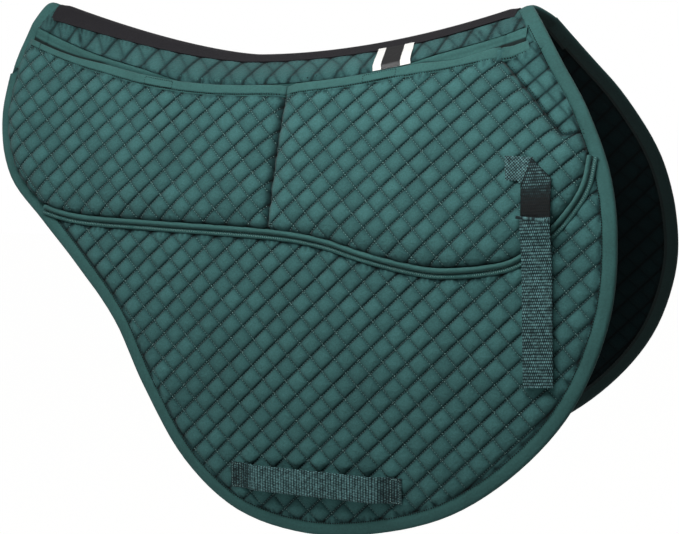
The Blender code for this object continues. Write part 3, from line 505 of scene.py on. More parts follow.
def addPiece(name, body, materials, wrap=onSide, mirrored=False, tuft=None, faceMaterial=None):
    points, faces, topCount = body
    world = wrap(points)
    if mirrored:
        world = world * [1, -1, 1]
        faces = [tuple(reversed(face)) for face in faces]
    mesh = bpy.data.meshes.new(name)
    mesh.from_pydata(world.tolist(), [], faces)
    for material in materials:
        mesh.materials.append(material)
    if faceMaterial is not None:
        mesh.polygons.foreach_set("material_index", np.asarray(faceMaterial(points, faces, topCount), np.int32))
    made = mesh.attributes.new("pattern", "FLOAT_VECTOR", "POINT")
    made.data.foreach_set("vector", points.astype(np.float32).ravel())
    made = mesh.attributes.new("tuft", "FLOAT", "POINT")
    values = np.full(len(points), 0.7) if tuft is None else tuft(points)
    made.data.foreach_set("value", values.astype(np.float32))
    mesh.shade_smooth()
    mesh.set_sharp_from_angle(angle=math.radians(48))
    piece = bpy.data.objects.new(name, mesh)
    bpy.context.scene.collection.objects.link(piece)
    return piece


# Where a piece would bend: the body that it comes from, and where it leaves that body and reaches its own. Nothing here
# bends it: a piece with a bend is only baked in place.
sideBend = ("spine", [0.0, 40.0, 5.0], [0.0, 22.0, 5.0])
strapBend = ("side", [284, -111, 24], [284, -122, 24])
flapBend = ("strap", [301, -309, 14], [301, -303, 14])


def attach(piece, body, nodes, bend=sideBend):
    if bend:
        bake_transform(piece)
    else:
        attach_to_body(piece, body)
    if nodes:
        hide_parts(*nodes)


def addOne(side, name, body, materials, slot, nodes, follows="side", bend=sideBend, fill=None, **looks):
    piece = addPiece(side + "_" + name, body, materials, mirrored=side == "left", **looks)
    attach(piece, side + "_" + follows, [side + "_" + node for node in nodes], bend)
    return piece


def addPair(*made, **looks):
    return [addOne(side, *made, **looks) for side in ("right", "left")]


def quiltShade(strength=1.0, squeeze=1.0):
    # Painted light on the crowns of the squares and painted shade in the sewn valleys, darkest along one diagonal
    def shade(points):
        x, s = points[:, 0], points[:, 1] * squeeze
        q = (s - x) / rootTwo / square
        return np.clip(pillow(x, s) * strength, 0, 1) - 0.7 * bell(np.abs(q - np.round(q)) * square, 0.8)
    return shade


def twoFaced(points, faces, topCount):
    return [0 if i < topCount or i >= 2 * topCount else 1 for i in range(len(faces))]


# Quilted panel of a side, with its lining
panel = {"liningPuff": 1.5, "liningWrinkle": 0.8, "drawnIn": 9.0}
outline = np.vstack([edge, belowSeam(seamFront, seamRear, 0.3)[1:-1]])
withinEdge = np.vstack([edge, [[edge[-1, 0], 200], [edge[0, 0], 200]]])


def fromEdge(x, s):
    # Depth inside the free edge, negative outside it
    return np.where(depthIn(withinEdge, x, s) > 0, 1, -1) * distanceTo(edge, x, s)


def bindingShadow(x, s, inner=13.4):
    # Painted shade: a dark line where the binding presses the cloth down
    return bell(fromEdge(x, s) - inner, 1.3)


def belowBand(x, s):
    # How far a point lies below the pockets' lower band
    reach = np.interp(x, [-500, *band[:, 0], 500], [band[0, 1], *band[:, 1], band[-1, 1]])
    return reach - s


def panelTop(x, s):
    hold = ramp(fromEdge(x, s), panel["drawnIn"] + 2, panel["drawnIn"] + 12)
    open_ = ramp(belowBand(x, s), 4, 12)
    base = cloth["boundTop"] + (cloth["panelTop"] - 1.4 - cloth["boundTop"]) * hold
    rise = cloth["puff"] + 0.8
    crease = 0.22 * noise(x, s, 6, 3) * pillow(x, s)
    return base + open_ * (rise * pillow(x, s) * (0.25 + 0.75 * hold) + crease) + 0.6 * (1 - open_)


def panelUnder(x, s):
    hold = ramp(fromEdge(x, s), panel["drawnIn"], panel["drawnIn"] + 12)
    open_ = ramp(belowBand(x, s), 4, 12)
    quilt = -panel["liningPuff"] * pillow(x, s) * hold
    plain = panel["liningWrinkle"] * (noise(x, s, 38, 5) + 0.4 * noise(x, s, 14, 6)) * hold
    return 0.7 + open_ * quilt + (1 - open_) * plain


def panelShade(points):
    # Painted light and shade of the quilting, with painted shade where the binding and the band press the cloth down
    x, s = points[:, 0], points[:, 1]
    return quiltShade()(points) - 0.9 * (bindingShadow(x, s, 13.8) + 0.9 * bell(belowBand(x, s) - 6.6, 1.8))


quilted = clothBody(lambda x, s: depthIn(outline, x, s), outline, panelTop, panelUnder)
addPair("quilted_panel", quilted, [cotton, liningCotton], "cotton", ["panel", "lining"], fill=0.5,
        tuft=panelShade, faceMaterial=twoFaced)
print("panels sewn", len(quilted[0]))

# Rows of stitches in the quilting, along both diagonals
stitch = {"pitch": 3.0, "half": 1.15, "proud": 0.12, "radius": 0.34, "margin": 2.0}


def quiltStitches(distance, ring, height):
    low, high = ring.min(0), ring.max(0)
    reach = (np.abs([*low, *high]).max() * 2) // square + 2
    rows = np.arange(-reach, reach) * square
    steps = np.arange(-reach * square, reach * square, stitch["pitch"]) + stitch["pitch"] / 2
    k, t = (axis.ravel() for axis in np.meshgrid(rows, steps, indexing="ij"))
    starts, ends = [], []
    for direction in ((1, 1), (-1, 1)):
        along = np.array(direction) / rootTwo
        flat = k[:, None] * np.array([along[1], -along[0]]) + t[:, None] * along
        flat = flat[np.all((flat > low) & (flat < high), 1)]
        flat = flat[distance(flat[:, 0], flat[:, 1]) > stitch["margin"]]
        w = height(flat[:, 0], flat[:, 1]) + stitch["proud"]
        starts.append(np.column_stack([wandered(flat) - stitch["half"] * along, w]))
        ends.append(np.column_stack([wandered(flat) + stitch["half"] * along, w]))
    return threadBody(np.vstack(starts), np.vstack(ends), stitch["radius"])


sewn = quiltStitches(lambda x, s: np.minimum(depthIn(outline, x, s) - 15, belowBand(x, s) - 7), outline, panelTop)
addPair("panel_stitches", sewn, [thread], "cotton", [], bend=None)
print("panel stitches", len(sewn[0]) // 6)

# Facing below the spine seam, and how the hems lie on it
facingLook = {"rear": -346.5, "front": 251.0, "top": 8.7, "under": 8.2}
tacks = (-328.0, 229.0)  # where a short row of stitches closes the mouths


def tackDip(x):
    return sum(bell(x - tack, 1.4) for tack in tacks)


def hemTop(x):
    # Depth below the seam of the hem's upper edge, which sags open towards the ends of the mouths
    gape = 3.4 * (1 - ramp(x, -300, -215) + ramp(x, 120, 190))
    return facing + gape + np.interp(x, [-325, -235, 110, 145, 190, 225], [4.5, 0, 0, 0.5, 6.0, 4.5])


def hemLow(x):
    sag = np.interp(x, [-335, -235, 110, 145, 190, 215, 234, 262], [4.5, 0, 0, 3, 7, 10, 12.3, 11.5])
    return hemBase + 0.8 + sag


def hemSeam(x):
    return 0.8 * hemLow(x) + 0.2 * hemTop(x)


def facingBody():
    x = np.linspace(facingLook["rear"], facingLook["front"], 310)
    t = np.array([0, 0.6, 1.5, 3, 5, *np.arange(6.5, 24, 0.9)])[::-1] / 23
    below = 0.4 + t * (hemBase - 1)
    pucker = 0.25 * np.sin(x / 3.1 + 2 * noise(x, 0 * x, 20, 7))[:, None] * np.exp(-below / 3)[None]
    swell = np.sin(np.clip(below / 9.5, 0, 1) * math.pi)[None]
    over = facingLook["top"] + swell + pucker - 0.8 * tackDip(x)[:, None]
    return sheetBody(gridBelow(x, below), over, facingLook["under"])


# Painted shade: a dark band above the hem where the mouth lies open, and dark lines along the seam, at the tacks and by
# the binding
def facingShade(points):
    x, s = points[:, 0], points[:, 1]
    below, mouth = seamHeight(x) - s, hemTop(x)
    shadow = 1.7 * ramp(below, mouth - 7.5, mouth - 4.5) * (0.5 + 0.5 * ramp(mouth - facing, 0, 2))
    return 0.75 - shadow - 0.9 * bell(below, 0.9) - 0.8 * tackDip(x) - 0.8 * bindingShadow(x, s)


for piece in addPair("seam_facing", facingBody(), [tape], "cotton", ["facing"], tuft=facingShade):
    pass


# Pockets: quilted covers that crown over the inserts
def pocketOutline(front, below):
    gap = 0.3 if front else -0.3
    upper = shifted(band, cloth["bandHalf"] + 0.3)
    corner = [divider + gap, np.interp(divider + gap, upper[:, 0], upper[:, 1])]
    if front:
        side = shifted(frontSeam, -gap)
        side = side[side[:, 1] < seamHeight(side[:, 0]) - below] if below > 0 else side
        bottom = upper[upper[:, 0] > divider + gap]
        bottom = bottom[:np.argmin(np.linalg.norm(bottom - side[-1], axis=1)) + 1]
        return np.vstack([corner, bottom, side[::-1], belowSeam(side[0, 0], divider + gap, below)])
    bottom = upper[upper[:, 0] < divider + gap]
    top = belowSeam(divider + gap, seamRear, below)
    reach = seamRear - 60
    return np.vstack([bottom, corner, top, [[reach, top[-1, 1]], [reach, bottom[0, 1]]]])


# The crown goes on as if the pocket ran past its mouth to the crest
wholePocket = {front: pocketOutline(front, -60.0) for front, name in bothEnds}


def crownOver(front, x, s):
    depth = np.minimum(depthIn(wholePocket[front], x, s), fromEdge(x, s) - 13)
    share = 1 - np.clip(depth / cloth["crownWidth"], 0, 1)
    return cloth["pocketEdge"] + (cloth["pocketTop"] - cloth["pocketEdge"]) * np.sqrt(1 - share**2)


# Painted light and shade of the quilting, with painted shade by the divider, the front seam, the binding, the hem and
# the band
def sunkShade(points):
    x, s = points[:, 0], points[:, 1]
    mouth = seamHeight(x) - hemLow(x) + 0.2
    sunk = bell(x - divider, np.where(x < divider, 4.5, 2.0)) * (s < seamHeight(x) - 24)
    sunk = sunk + 1.5 * bell(distanceTo(frontSeam, x, s), 1.9) + bindingShadow(x, s)
    sunk = sunk + 0.8 * bell(mouth - s, 1.2) + 0.8 * bell(-belowBand(x, s) - 6.2, 1.5)
    return quiltShade()(points) - 0.85 * np.clip(sunk, 0, 1.2)


for front, name in bothEnds:
    cut = pocketOutline(front, hemBase - 1.0)

    def coverInside(x, s):
        return np.minimum(depthIn(cut, x, s), fromEdge(x, s) - 12)

    def coverTop(x, s):
        pull = 0.5 * np.exp(-np.abs(x - divider) / 9) * np.sin(s / 2.6 + 2 * noise(x, s, 12, 8))
        nearSeam = np.exp(-distanceTo(frontSeam, x, s) / 11)
        pull = pull + 0.7 * nearSeam * np.sin((x + s) / 2.4 + 3 * noise(x, s, 14, 24))
        flatNearHem = 1 - 0.6 * np.exp(-np.clip(seamHeight(x) - hemLow(x) - s, 0, 50) / 3)
        puff = (cloth["puff"] + 0.5) * pillow(x, s) * flatNearHem
        return crownOver(front, x, s) - 0.9 + puff + pull + 0.5 * noise(x, s, 45, 9)

    cover = clothBody(coverInside, cut, coverTop, lambda x, s: np.maximum(8.3, crownOver(front, x, s) - 3.4))
    addPair(name + "_quilted_cover", cover, [cotton], "cotton", [name + "_pocket_cover"], fill=0.6, tuft=sunkShade)
    sewn = quiltStitches(coverInside, cut, coverTop)
    addPair(name + "_pocket_stitches", sewn, [thread], "cotton", [])
print("pocket covers sewn")

# Hems: the folded band across each pocket's mouth, on to the bindings
hem = {
    "rear": (-347.5, divider - 0.4), "front": (divider + 0.4, 260.0), "step": 1.6, "rows": 13, "sewnUnder": 9.0,
    "mouthTop": 17.5, "mouthUnder": 16.9, "boxDepths": (2.5, 10.5),
}
insertReach = {"rear": (-318.0, divider - 14.5), "front": (divider + 14.5, frontSeam[0, 0] - 14.5)}
boxMiddle = {"rear": cloth["boxRear"], "front": cloth["boxFront"]}


# Painted shade: dark lines along the hem's row of stitches and its upper edge, at the tacks, the divider and the
# binding
def hemShade(points):
    x, s = points[:, 0], points[:, 1]
    below = seamHeight(x) - s
    return (0.8 - 1.2 * bell(below - hemSeam(x), 0.9) - 0.9 * bell(below - hemTop(x), 0.7) - 0.8 * tackDip(x)
            - 0.9 * bell(x - divider, 1.6) - 0.8 * bindingShadow(x, s))


for front, name in bothEnds:
    start, stop = hem[name]
    x = np.linspace(start, stop, round((stop - start) / hem["step"]))
    t = np.linspace(0, 1, hem["rows"])[None]
    # The front end slants with the binding
    along = x[:, None] - 6.0 * t * ramp(x, 225, 262)[:, None]
    s = seamHeight(along) - (hemLow(along) - t * (hemLow(along) - hemTop(along)))
    top = sum(crownOver(front, along + aside, s) for aside in (-5, -2, 2, 5)) / 4 - 0.4
    roundness = np.sqrt(np.clip(1 - np.abs(2 * t - 1) ** 5, 0, 1))
    sewn = bell(t - 0.16, 0.07)
    ripple = 0.35 * noise(along, s, 18, 10) + 0.3 * noise(along, s, 5, 12) * (0.4 + sewn)
    over = top - 1.2 + 2.4 * roundness - 1.1 * sewn + ripple - tackDip(x)[:, None]
    under = np.maximum(9.3, np.minimum(top - 1.4 - roundness, over - 0.5))
    under[:, 0] = hem["sewnUnder"]
    # Room for the insert to slide out below the hem
    first, last = insertReach[name]
    free = (x > first - 3) & (x < last + 3)
    over[free] = np.maximum(over[free], hem["mouthTop"])
    under[free] = np.maximum(under[free], hem["mouthUnder"])
    folded = sheetBody(np.dstack([along, s]), over, under)
    addPair(name + "_hem_fold", folded, [tape], "cotton_tape", [name + "_pocket_hem"], tuft=hemShade)

    def onHem(lift, row=7):
        return lambda a, b: np.interp(a, x, over[:, row]) + lift

    row = np.stack([x, seamHeight(x) - hemSeam(x)], 1)[3:-3]
    rows = [stitchesAlong(row, onHem(0.9, 2), pitch=2.7, radius=0.85)]
    # The boxes that hold the hook and loop tape show through as rows of stitches
    ends = [boxMiddle[name] - cloth["boxHalf"], boxMiddle[name] + cloth["boxHalf"]]
    box = [belowSeam(*way, facing + depth) for way, depth in zip((ends, ends[::-1]), hem["boxDepths"])]
    box += [[(end, float(seamHeight(end)) - facing - depth) for depth in hem["boxDepths"]] for end in ends]
    rows += [stitchesAlong(line, onHem(0.2), pitch=2.4, length=2.0, radius=0.55) for line in box]
    # A short row tacks each hem down where it meets the binding
    tack = tacks[front]
    line = [(tack, float(seamHeight(tack) - depth(tack)) + lift) for depth, lift in ((hemTop, -0.5), (hemLow, 1.0))]
    rows.append(stitchesAlong(line, onHem(0.15), pitch=2.4, length=1.9))
    addPair(name + "_hem_stitches", together(rows), [shadedThread], "cotton_tape", [])
print("hems folded")

# The quilted wedge in front of the front pocket
wedgeSeam = shifted(frontSeam, 0.3)
wedgeSeam = wedgeSeam[wedgeSeam[:, 1] < seamHeight(wedgeSeam[:, 0]) - 24]
wedgeOutline = np.vstack([belowSeam(seamFront, wedgeSeam[0, 0], 23.5), wedgeSeam,
                          [[380, wedgeSeam[-1, 1]], [380, wedgeSeam[0, 1]]]])


def wedgeInside(x, s):
    return np.minimum(depthIn(wedgeOutline, x, s), fromEdge(x, s) - 12)


def wedgeTop(x, s):
    depth = np.clip(depthIn(wedgeOutline, x, s), 0, 10) / 10
    return cloth["pocketEdge"] - 2.2 + 1.4 * np.sqrt(depth) + (cloth["puff"] - 0.4) * pillow(x, s)


wedge = clothBody(wedgeInside, wedgeOutline, wedgeTop, lambda x, s: 0 * x + 8.3)
addPair("quilted_wedge", wedge, [cotton], "cotton", ["front_wedge"], fill=0.4, tuft=sunkShade)


# Two rows of stitches, one along each side of the seam in front of the front pocket
def besideSeam(x, s):
    inPocket = depthIn(wholePocket[True], x, s) > 0
    return np.where(inPocket, crownOver(True, x, s) - 0.6, wedgeTop(x, s)) + 0.2


rows = [stitchesAlong(shifted(wedgeSeam, aside)[2:-1], besideSeam, pitch=2.8, length=2.2, radius=0.5)
        for aside in (2.3, -2.3)]
addPair("seam_stitches", together(rows), [shadedThread], "cotton", [])


# Lower band: rolled piping above a flat tape with a zigzag row
def bandProfile():
    half, under = cloth["bandHalf"], 8.3
    angle = np.linspace(math.pi, 0, 9)
    piping = np.stack([2.6 + 2.7 * np.cos(angle), 10.9 + 3.4 * np.sin(angle)], 1)
    tapeFace = [(-half, 9.2), (-4.6, 10.0), (-3.0, 10.2), (-1.4, 10.0), (-0.6, 9.4)]
    return np.vstack([[(-half, under)], tapeFace, piping, [(half - 0.1, under)]])


def bandLift(length, left):
    pucker = 0.35 * noise(length, left * 2, 4.5, 13) + 0.5 * noise(length, left, 30, 14)
    return pucker * (np.abs(left) < 5.3)


# Painted shade: dark lines below the piping and along the band's lower edge, and a darker lower half
def bandShade(points):
    x, s = points[:, 0], points[:, 1]
    left = np.where(belowBand(x, s) < 0, 1, -1) * distanceTo(band, x, s)
    return 0.9 - 1.4 * bell(left + 0.5, 0.8) - 0.9 * bell(left + 5.6, 1.0) - 0.3 * (left < -0.5)


bandPath = spaced(band, 2.0)
bandPath = bandPath[fromEdge(bandPath[:, 0], bandPath[:, 1]) > 9]
addPair("piped_band", sweptBody(bandPath, bandProfile(), bandLift), [tape], "cotton_tape", ["pocket_lower_band"],
        bend=None, tuft=bandShade)
rows = [stitchesAlong(shifted(bandPath, -3.0), 10.4, pitch=2.2, length=1.2, zigzag=1.3),
        stitchesAlong(shifted(bandPath, -0.3), 9.7, pitch=3.0)]
addPair("band_stitches", together(rows), [thread], "cotton_tape", [], bend=None)

# Binding tape, folded over the free edge. Start is where the tape round a side starts, down the rear edge.
binding = {"step": 2.4, "inner": 13.0, "middle": 2.5, "stitchIn": 12.4, "stitchOut": 6.9, "start": 14.0}


def bindingProfile():
    inner, middle = binding["inner"], binding["middle"]
    angle = np.linspace(-math.pi / 2, -3 * math.pi / 2, 9)
    edgeTurn = np.stack([1.6 + 3.9 * np.cos(angle), middle + 3.9 * np.sin(angle)], 1)
    return np.vstack([
        [(inner, -1.2), (9.5, -1.4), (5, -1.5)], edgeTurn, [(5, 6.9), (9.0, 6.8), (11.0, 6.1), (11.9, 6.2), (inner, 5.9)],
        [(inner, 5.2), (9, 5.4), (3, 5.4), (0.2, 4.4), (-0.8, middle), (0.2, 0.6), (3, -0.4), (9, -0.5), (inner, -0.5)]])


def bindingLift(length, left):
    pull = np.clip((left - 5) / 7, 0, 1)
    return 0.35 * pull * noise(length, left, 4.0, 15) + 0.25 * noise(length, 0 * left, 18, 16)


# Painted shade: the binding's underside, facing the horse, and its inner edge are dark
def bindingShade(points):
    profile = bindingProfile()
    shade = 0.5 - 1.35 * (1 - ramp(profile[:, 1], 0.2, 5.2)) - 1.2 * ramp(profile[:, 0], 11.5, binding["inner"])
    return shade[np.arange(len(points)) % len(profile)]


sideEdge = edge[np.argmax(edge[:, 1] < binding["start"]):]
bindingPath = spaced(np.vstack([sideEdge, edge[-1] + [-2.0, 3.5]]), binding["step"])
# The folded start of the tape stands out past the tape above it
standsOut = 2.0 * np.exp(-np.arange(len(bindingPath)) * binding["step"] / 35)
bindingPath = shifted(bindingPath, -standsOut[:, None])
bound = sweptBody(bindingPath, bindingProfile(), bindingLift)
addPair("tape_binding", bound, [tape], "cotton_tape", ["edge_binding"], tuft=bindingShade)
row = stitchesAlong(shifted(bindingPath, binding["stitchIn"]), binding["stitchOut"], pitch=2.7, radius=0.8)
addPair("binding_stitches", row, [shadedThread], "cotton_tape", [])
print("bindings and bands sewn")

# Billet strap, its tab, and the flap that folds up over it. Drape is how far the strap stands out along its length.
strap = {"x": 287.0, "top": -112.0, "length": 197.0, "tilt": math.radians(4.3), "width": 30.5, "flap": 163.0,
         "flapOut": 2.6, "overCover": 23.9, "overPanel": 12.6}
drape = np.array([(0, 1), (0.13, 1), (0.23, 0.86), (0.29, 0.5), (0.36, 0.26), (0.48, 0), (0.75, 0), (1, 0)])
strapAcross = np.array([math.cos(strap["tilt"]), math.sin(strap["tilt"]), 0])
upright, lean = strapAcross[:2]


def strapSpot(down, c):
    # The place of a point down the strap, and c of its width across it
    across = c * strap["width"]
    return [strap["x"] + down * lean + across * upright, strap["top"] - down * upright + across * lean]


def strapPlace(points):
    dx, ds = points[:, 0] - strap["x"], points[:, 1] - strap["top"]
    return dx * lean - ds * upright, (dx * upright + ds * lean) / strap["width"]


def strapPath(start, end, out):
    down = np.linspace(start, end, 60)
    lift = np.interp(down / strap["length"], drape[:, 0], drape[:, 1])
    kernel = np.hanning(9) / np.hanning(9).sum()
    lift = np.convolve(np.pad(lift, 4, mode="edge"), kernel, mode="valid")
    w = strap["overPanel"] + (strap["overCover"] - strap["overPanel"]) * lift + out
    return np.stack([*strapSpot(down, 0), w], 1)


def webbingLightAndShade(shade=None):
    # Painted light on the raised pips of yarn and painted shade in the gaps between them, by the row and column of the
    # weave
    def tuft(points):
        number = np.arange(len(points)) % (len(points) // 2)
        row, column = number // ribs["columns"], number % ribs["columns"]
        light = pips(row * ribs["pitch"] / 4, column)
        mottled = 0.35 * noise(row * 1.0, column * 1.0, 2.2, 25)
        return 1.25 * light - 0.3 + mottled - (shade(points) if shade else 0)
    return tuft


# The strap's folded end, cut at a slant
foldRing = np.array([strapSpot(down, c) for c, down in ((-0.5, 2), (-0.17, -26), (0.5, -5), (0.5, 12), (-0.5, 12))])


def foldInside(x, s):
    return depthIn(foldRing, x, s)


def foldPips(down, c):
    return pips(down, c * (ribs["columns"] - 1))


def foldTop(x, s):
    down, c = strapPlace(np.stack([x, s], 1))
    rolled = 0.5 * np.exp(-foldInside(x, s) / 1.2) * (down < 4)
    return strap["overCover"] + 0.65 + ribs["depth"] * foldPips(down, c) + rolled


# Painted light on the pips of the strap's weave, with painted shade on its upper part, down to just below the flap's
# edge, and along the edges of its folded end
def strapLight(points):
    down, c = strapPlace(points)
    light = 1.25 * foldPips(down, c) - 0.3 + 0.35 * noise(down * 1.3, c * 25, 2.2, 25)
    edges = np.exp(-np.abs(foldInside(points[:, 0], points[:, 1])) / 0.9) * (down < 3)
    return light - 0.2 - 1.15 * ramp(down, -4, 26) * (1 - ramp(down, 40, 60)) - 0.7 * edges


foldBody = clothBody(foldInside, foldRing, foldTop, lambda x, s: 0 * x + strap["overCover"] - 0.6,
                     cuts=webbingCuts, square=1.2, turned=False)
strapBody = together([webbingBody(strapPath(11, strap["length"], 0), strapAcross, strap["width"] - 0.2, 1.3), foldBody])
flapPath = strapPath(strap["length"] - strap["flap"], strap["length"], strap["flapOut"])
flapBody = webbingBody(flapPath, strapAcross, strap["width"], 1.5)

# The flap's cut end is rolled and frays a little past the strap
end = flapPath[0]
angle = np.linspace(0, 2 * math.pi, 9)[:-1]
across = np.stack([end[:2] + strapAcross[:2] * c * strap["width"] + [0, -2.0 - 4.5 * c]
                   for c in np.linspace(-0.62, 0.53, 30)])
flapEdge = sweptBody(across, np.stack([1.7 * np.cos(angle), end[2] + 0.8 + 1.4 * np.sin(angle)], 1),
                     lambda length, left: 0.25 * noise(length, left, 1.5, 26))


# Painted shade on the underside of the flap's rolled edge, over a random mottle
def flapEdgeShade(points):
    return 0.1 + 0.7 * noise(points[:, 0], points[:, 2], 1.2, 27) - 0.8 * (points[:, 2] < end[2] + 0.6)


for side in ("right", "left"):
    for name, body, nodes, follows, bend, tuft in (
            ("folded_strap", strapBody, ["billet_strap"], "strap", strapBend, strapLight),
            ("webbing_flap", flapBody, ["strap_flap"], "flap", flapBend, webbingLightAndShade()),
            ("flap_edge", flapEdge, [], "flap", None, flapEdgeShade)):
        addOne(side, name, body, [greenWebbing], "green_webbing", nodes, follows=follows, bend=bend, tuft=tuft)

# The tab beside the strap's end: a piece of webbing with a second one under it
tab = {"low": 22.6, "step": 0.4, "thick": 0.9, "rib": 1.6, "corners": (
    [(251.5, -85), (255, -109.5), (284, -110.5), (281, -85.5)],
    [(280.5, -89), (300, -106.5), (300.5, -111), (268.5, -111.5)])}


def tabLayer(ring, base):
    def inside(x, s):
        return depthIn(ring, x, s)

    def over(x, s):
        return base + tab["thick"] + 0.3 * np.abs(np.sin(math.pi * x / tab["rib"])) * ramp(inside(x, s), 0, 1.5)

    return clothBody(inside, ring, over, lambda x, s: 0 * x + base, cuts=webbingCuts, square=1.07, turned=False)


def tabTuft(points):
    x, s = points[:, 0], points[:, 1]
    weave = np.sin(x * math.pi / tab["rib"]) * np.sin(s * math.pi / tab["rib"])
    return np.clip(0.2 + 0.5 * weave + 0.3 * noise(x, s, 1.6, 28), -0.4, 1.2)


layers = [tabLayer(np.array(ring, float), tab["low"] - tab["step"] * i) for i, ring in enumerate(tab["corners"])]
addPair("webbing_tab", together(layers), [greenWebbing], "green_webbing", ["billet_tab"], bend=None, tuft=tabTuft)

# Girth keeper: a webbing loop, sewn down in a box at each end. Box is how far out it lies, and its half sizes.
keeper = {"x": 63.0, "s": -425.0, "w": 10.6, "length": 194.0, "width": 27.0, "thickness": 1.4, "sewn": 14.0,
          "bow": 7.0, "ramp": 20.0, "box": (90.5, 5.0, 12.0), "stitch": 11.7}


def keeperPath():
    half = keeper["length"] / 2
    x = np.linspace(-half, half, 90)
    reach = np.clip((half - np.abs(x) - keeper["sewn"]) / keeper["ramp"], 0, 1)
    w = keeper["w"] + keeper["bow"] * (1 - np.cos(math.pi * reach)) / 2
    return np.stack([keeper["x"] + x, 0 * x + keeper["s"], w], 1)


def keeperShade(points):
    return 0.35 * ramp(np.abs(points[:, 0] - keeper["x"]), 70, 80) - 0.1


keeperBody = webbingBody(keeperPath(), np.array([0.0, 1.0, 0.0]), keeper["width"], keeper["thickness"])
addPair("webbing_keeper", keeperBody, [greenWebbing], "green_webbing", ["girth_keeper"], bend=None,
        tuft=webbingLightAndShade(keeperShade))
out, halfLong, halfWide = keeper["box"]
around = np.array([(-1, -1), (1, -1), (1, 1), (-1, 1), (-1, -1)]) * [halfLong, halfWide]
boxes = [around + [keeper["x"] + place, keeper["s"]] for place in (-out, out)]
rows = [stitchesAlong(box[i:i + 2], keeper["stitch"], pitch=2.6, length=2.0) for box in boxes for i in range(4)]
addPair("keeper_stitches", together(rows), [thread], "green_webbing", [], bend=None)
print("straps woven")

# Hook and loop patches inside the mouths
nap = {"loop": 9.3, "hook": 16.7, "thick": 0.6, "rise": 0.12, "rows": 37, "columns": 9, "depths": (23, 12)}
for front, name in bothEnds:
    x = boxMiddle[name] + np.linspace(-cloth["boxHalf"], cloth["boxHalf"], nap["rows"])
    flat = gridBelow(x, np.linspace(*nap["depths"], nap["columns"]))
    pile = nap["rise"] * plainWeave(nap["rows"], nap["columns"])
    for kind in ("loop", "hook"):
        patch = sheetBody(flat, nap[kind] + nap["thick"] + pile, nap[kind])
        addPair(name + "_" + kind + "_nap", patch, [hookLoop], "hook_and_loop", [name + "_" + kind + "_patch"])

# Foam inserts
insert = {"low": 11.2, "thickness": 5.2, "corner": 2.2, "mouth": 12.0, "fromEdge": 29.5}


def insertOutline(front, start, stop):
    upper = shifted(band, cloth["bandHalf"] + cloth["sewnMargin"] + 0.5)
    x = np.linspace(max(start, -310), stop, 60)
    bottom = np.stack([x, np.interp(x, upper[:, 0], upper[:, 1])], 1)
    reach = start if front else seamRear + 30
    return np.vstack([bottom, belowSeam(stop, reach, hemBase + insert["mouth"]), [[reach, bottom[0, 1]]]])


for front, name in bothEnds:
    ring = insertOutline(front, *insertReach[name])

    def insertInside(x, s):
        return np.minimum(depthIn(ring, x, s), fromEdge(x, s) - insert["fromEdge"])

    def rounded(x, s):
        depth = 1 - np.clip(insertInside(x, s) / insert["corner"], 0, 1)
        return insert["corner"] * (1 - np.sqrt(1 - depth**2))

    foam = clothBody(insertInside, ring,
                     lambda x, s: insert["low"] + insert["thickness"] - rounded(x, s) + 0.1 * noise(x, s, 8, 17),
                     lambda x, s: insert["low"] + 0.1 + rounded(x, s), cuts=plainCuts, square=10.0, turned=False)
    addPair(name + "_felt_insert", foam, [feltedFoam], "insert_foam", [name + "_insert"], follows=name + "_insert",
            bend=None, fill=0.7)
print("inserts cut")

# Spine: quilted halves that meet along the crest under the webbing. Their lattice is drawn out across by
# squeeze, and slants back towards the rear by shear.
spine = {"puff": 1.9, "webbing": 52.0, "lap": 6.0, "lapTop": 10.5, "lapUnder": 9.4, "squeeze": 0.5, "shear": 0.4}
halfWeb = spine["webbing"] / 2


def spineEdge(x, t):
    share = np.clip(np.abs(t) / halfArc(x), 0, 1)
    return np.minimum(spineEnd(share, True) - x, x - spineEnd(share, False))


def fromQuilt(x, u):
    return x + spine["shear"] * np.abs(u / spine["squeeze"]), u / spine["squeeze"]


def spineTop(quiltX, u):
    x, t = fromQuilt(quiltX, u)
    near = spineEdge(x, t)
    hold = ramp(near, 8, 22)
    beyond = np.abs(t) - halfArc(x)
    web = ramp(np.abs(t), halfWeb - 3, halfWeb + 3)
    base = cloth["boundTop"] + (cloth["panelTop"] - 0.6 - cloth["boundTop"]) * hold
    flat = base + spine["puff"] * pillow(quiltX, u) * hold * ramp(-beyond, 0, 5) * web + 0.3 * noise(x, t, 20, 18) * web
    lap = spine["lapTop"] - 0.5 * np.exp(-np.abs(beyond + 0.6) / 1.2) + 0.1 * noise(x, t, 7, 23)
    return flat + (lap - flat) * ramp(beyond, -4.0, -1.0) * ramp(near, 11.0, 13.5)


def spineUnder(quiltX, u):
    x, t = fromQuilt(quiltX, u)
    near = spineEdge(x, t)
    hold = ramp(near, 8, 22)
    flat = 0.6 - 0.8 * hold * pillow(quiltX, u) + 0.3 * noise(x, t, 25, 19) * hold
    lapped = flat + (spine["lapUnder"] - flat) * ramp(near, 11.0, 13.5)
    return np.where(np.abs(t) > halfArc(x) + 0.9, lapped, flat)


def lapWidth(x):
    # How far the quilted strip is turned down over the facing
    return 1.6 + spine["lap"] * ramp(x, -215, -120) * (1 - ramp(x, 95, 165))


# Painted light and shade of the quilting on the spine, with painted shade lines along the lapped edge, beside the black
# tape and across the ends
def spineShade(points):
    x, t = points[:, 0], np.abs(points[:, 1])
    sheared = np.column_stack([x - spine["shear"] * t, points[:, 1]])
    crossed = bell(x + 300 - 0.33 * t, 1.2) + bell(x - 174 - 0.72 * t, 1.2)
    return (quiltShade(0.75, spine["squeeze"])(sheared) - 0.7 * bell(t - halfArc(x) - lapWidth(x), 0.8)
            - 0.6 * bell(t - halfWeb, 1.5) - 0.8 * crossed)


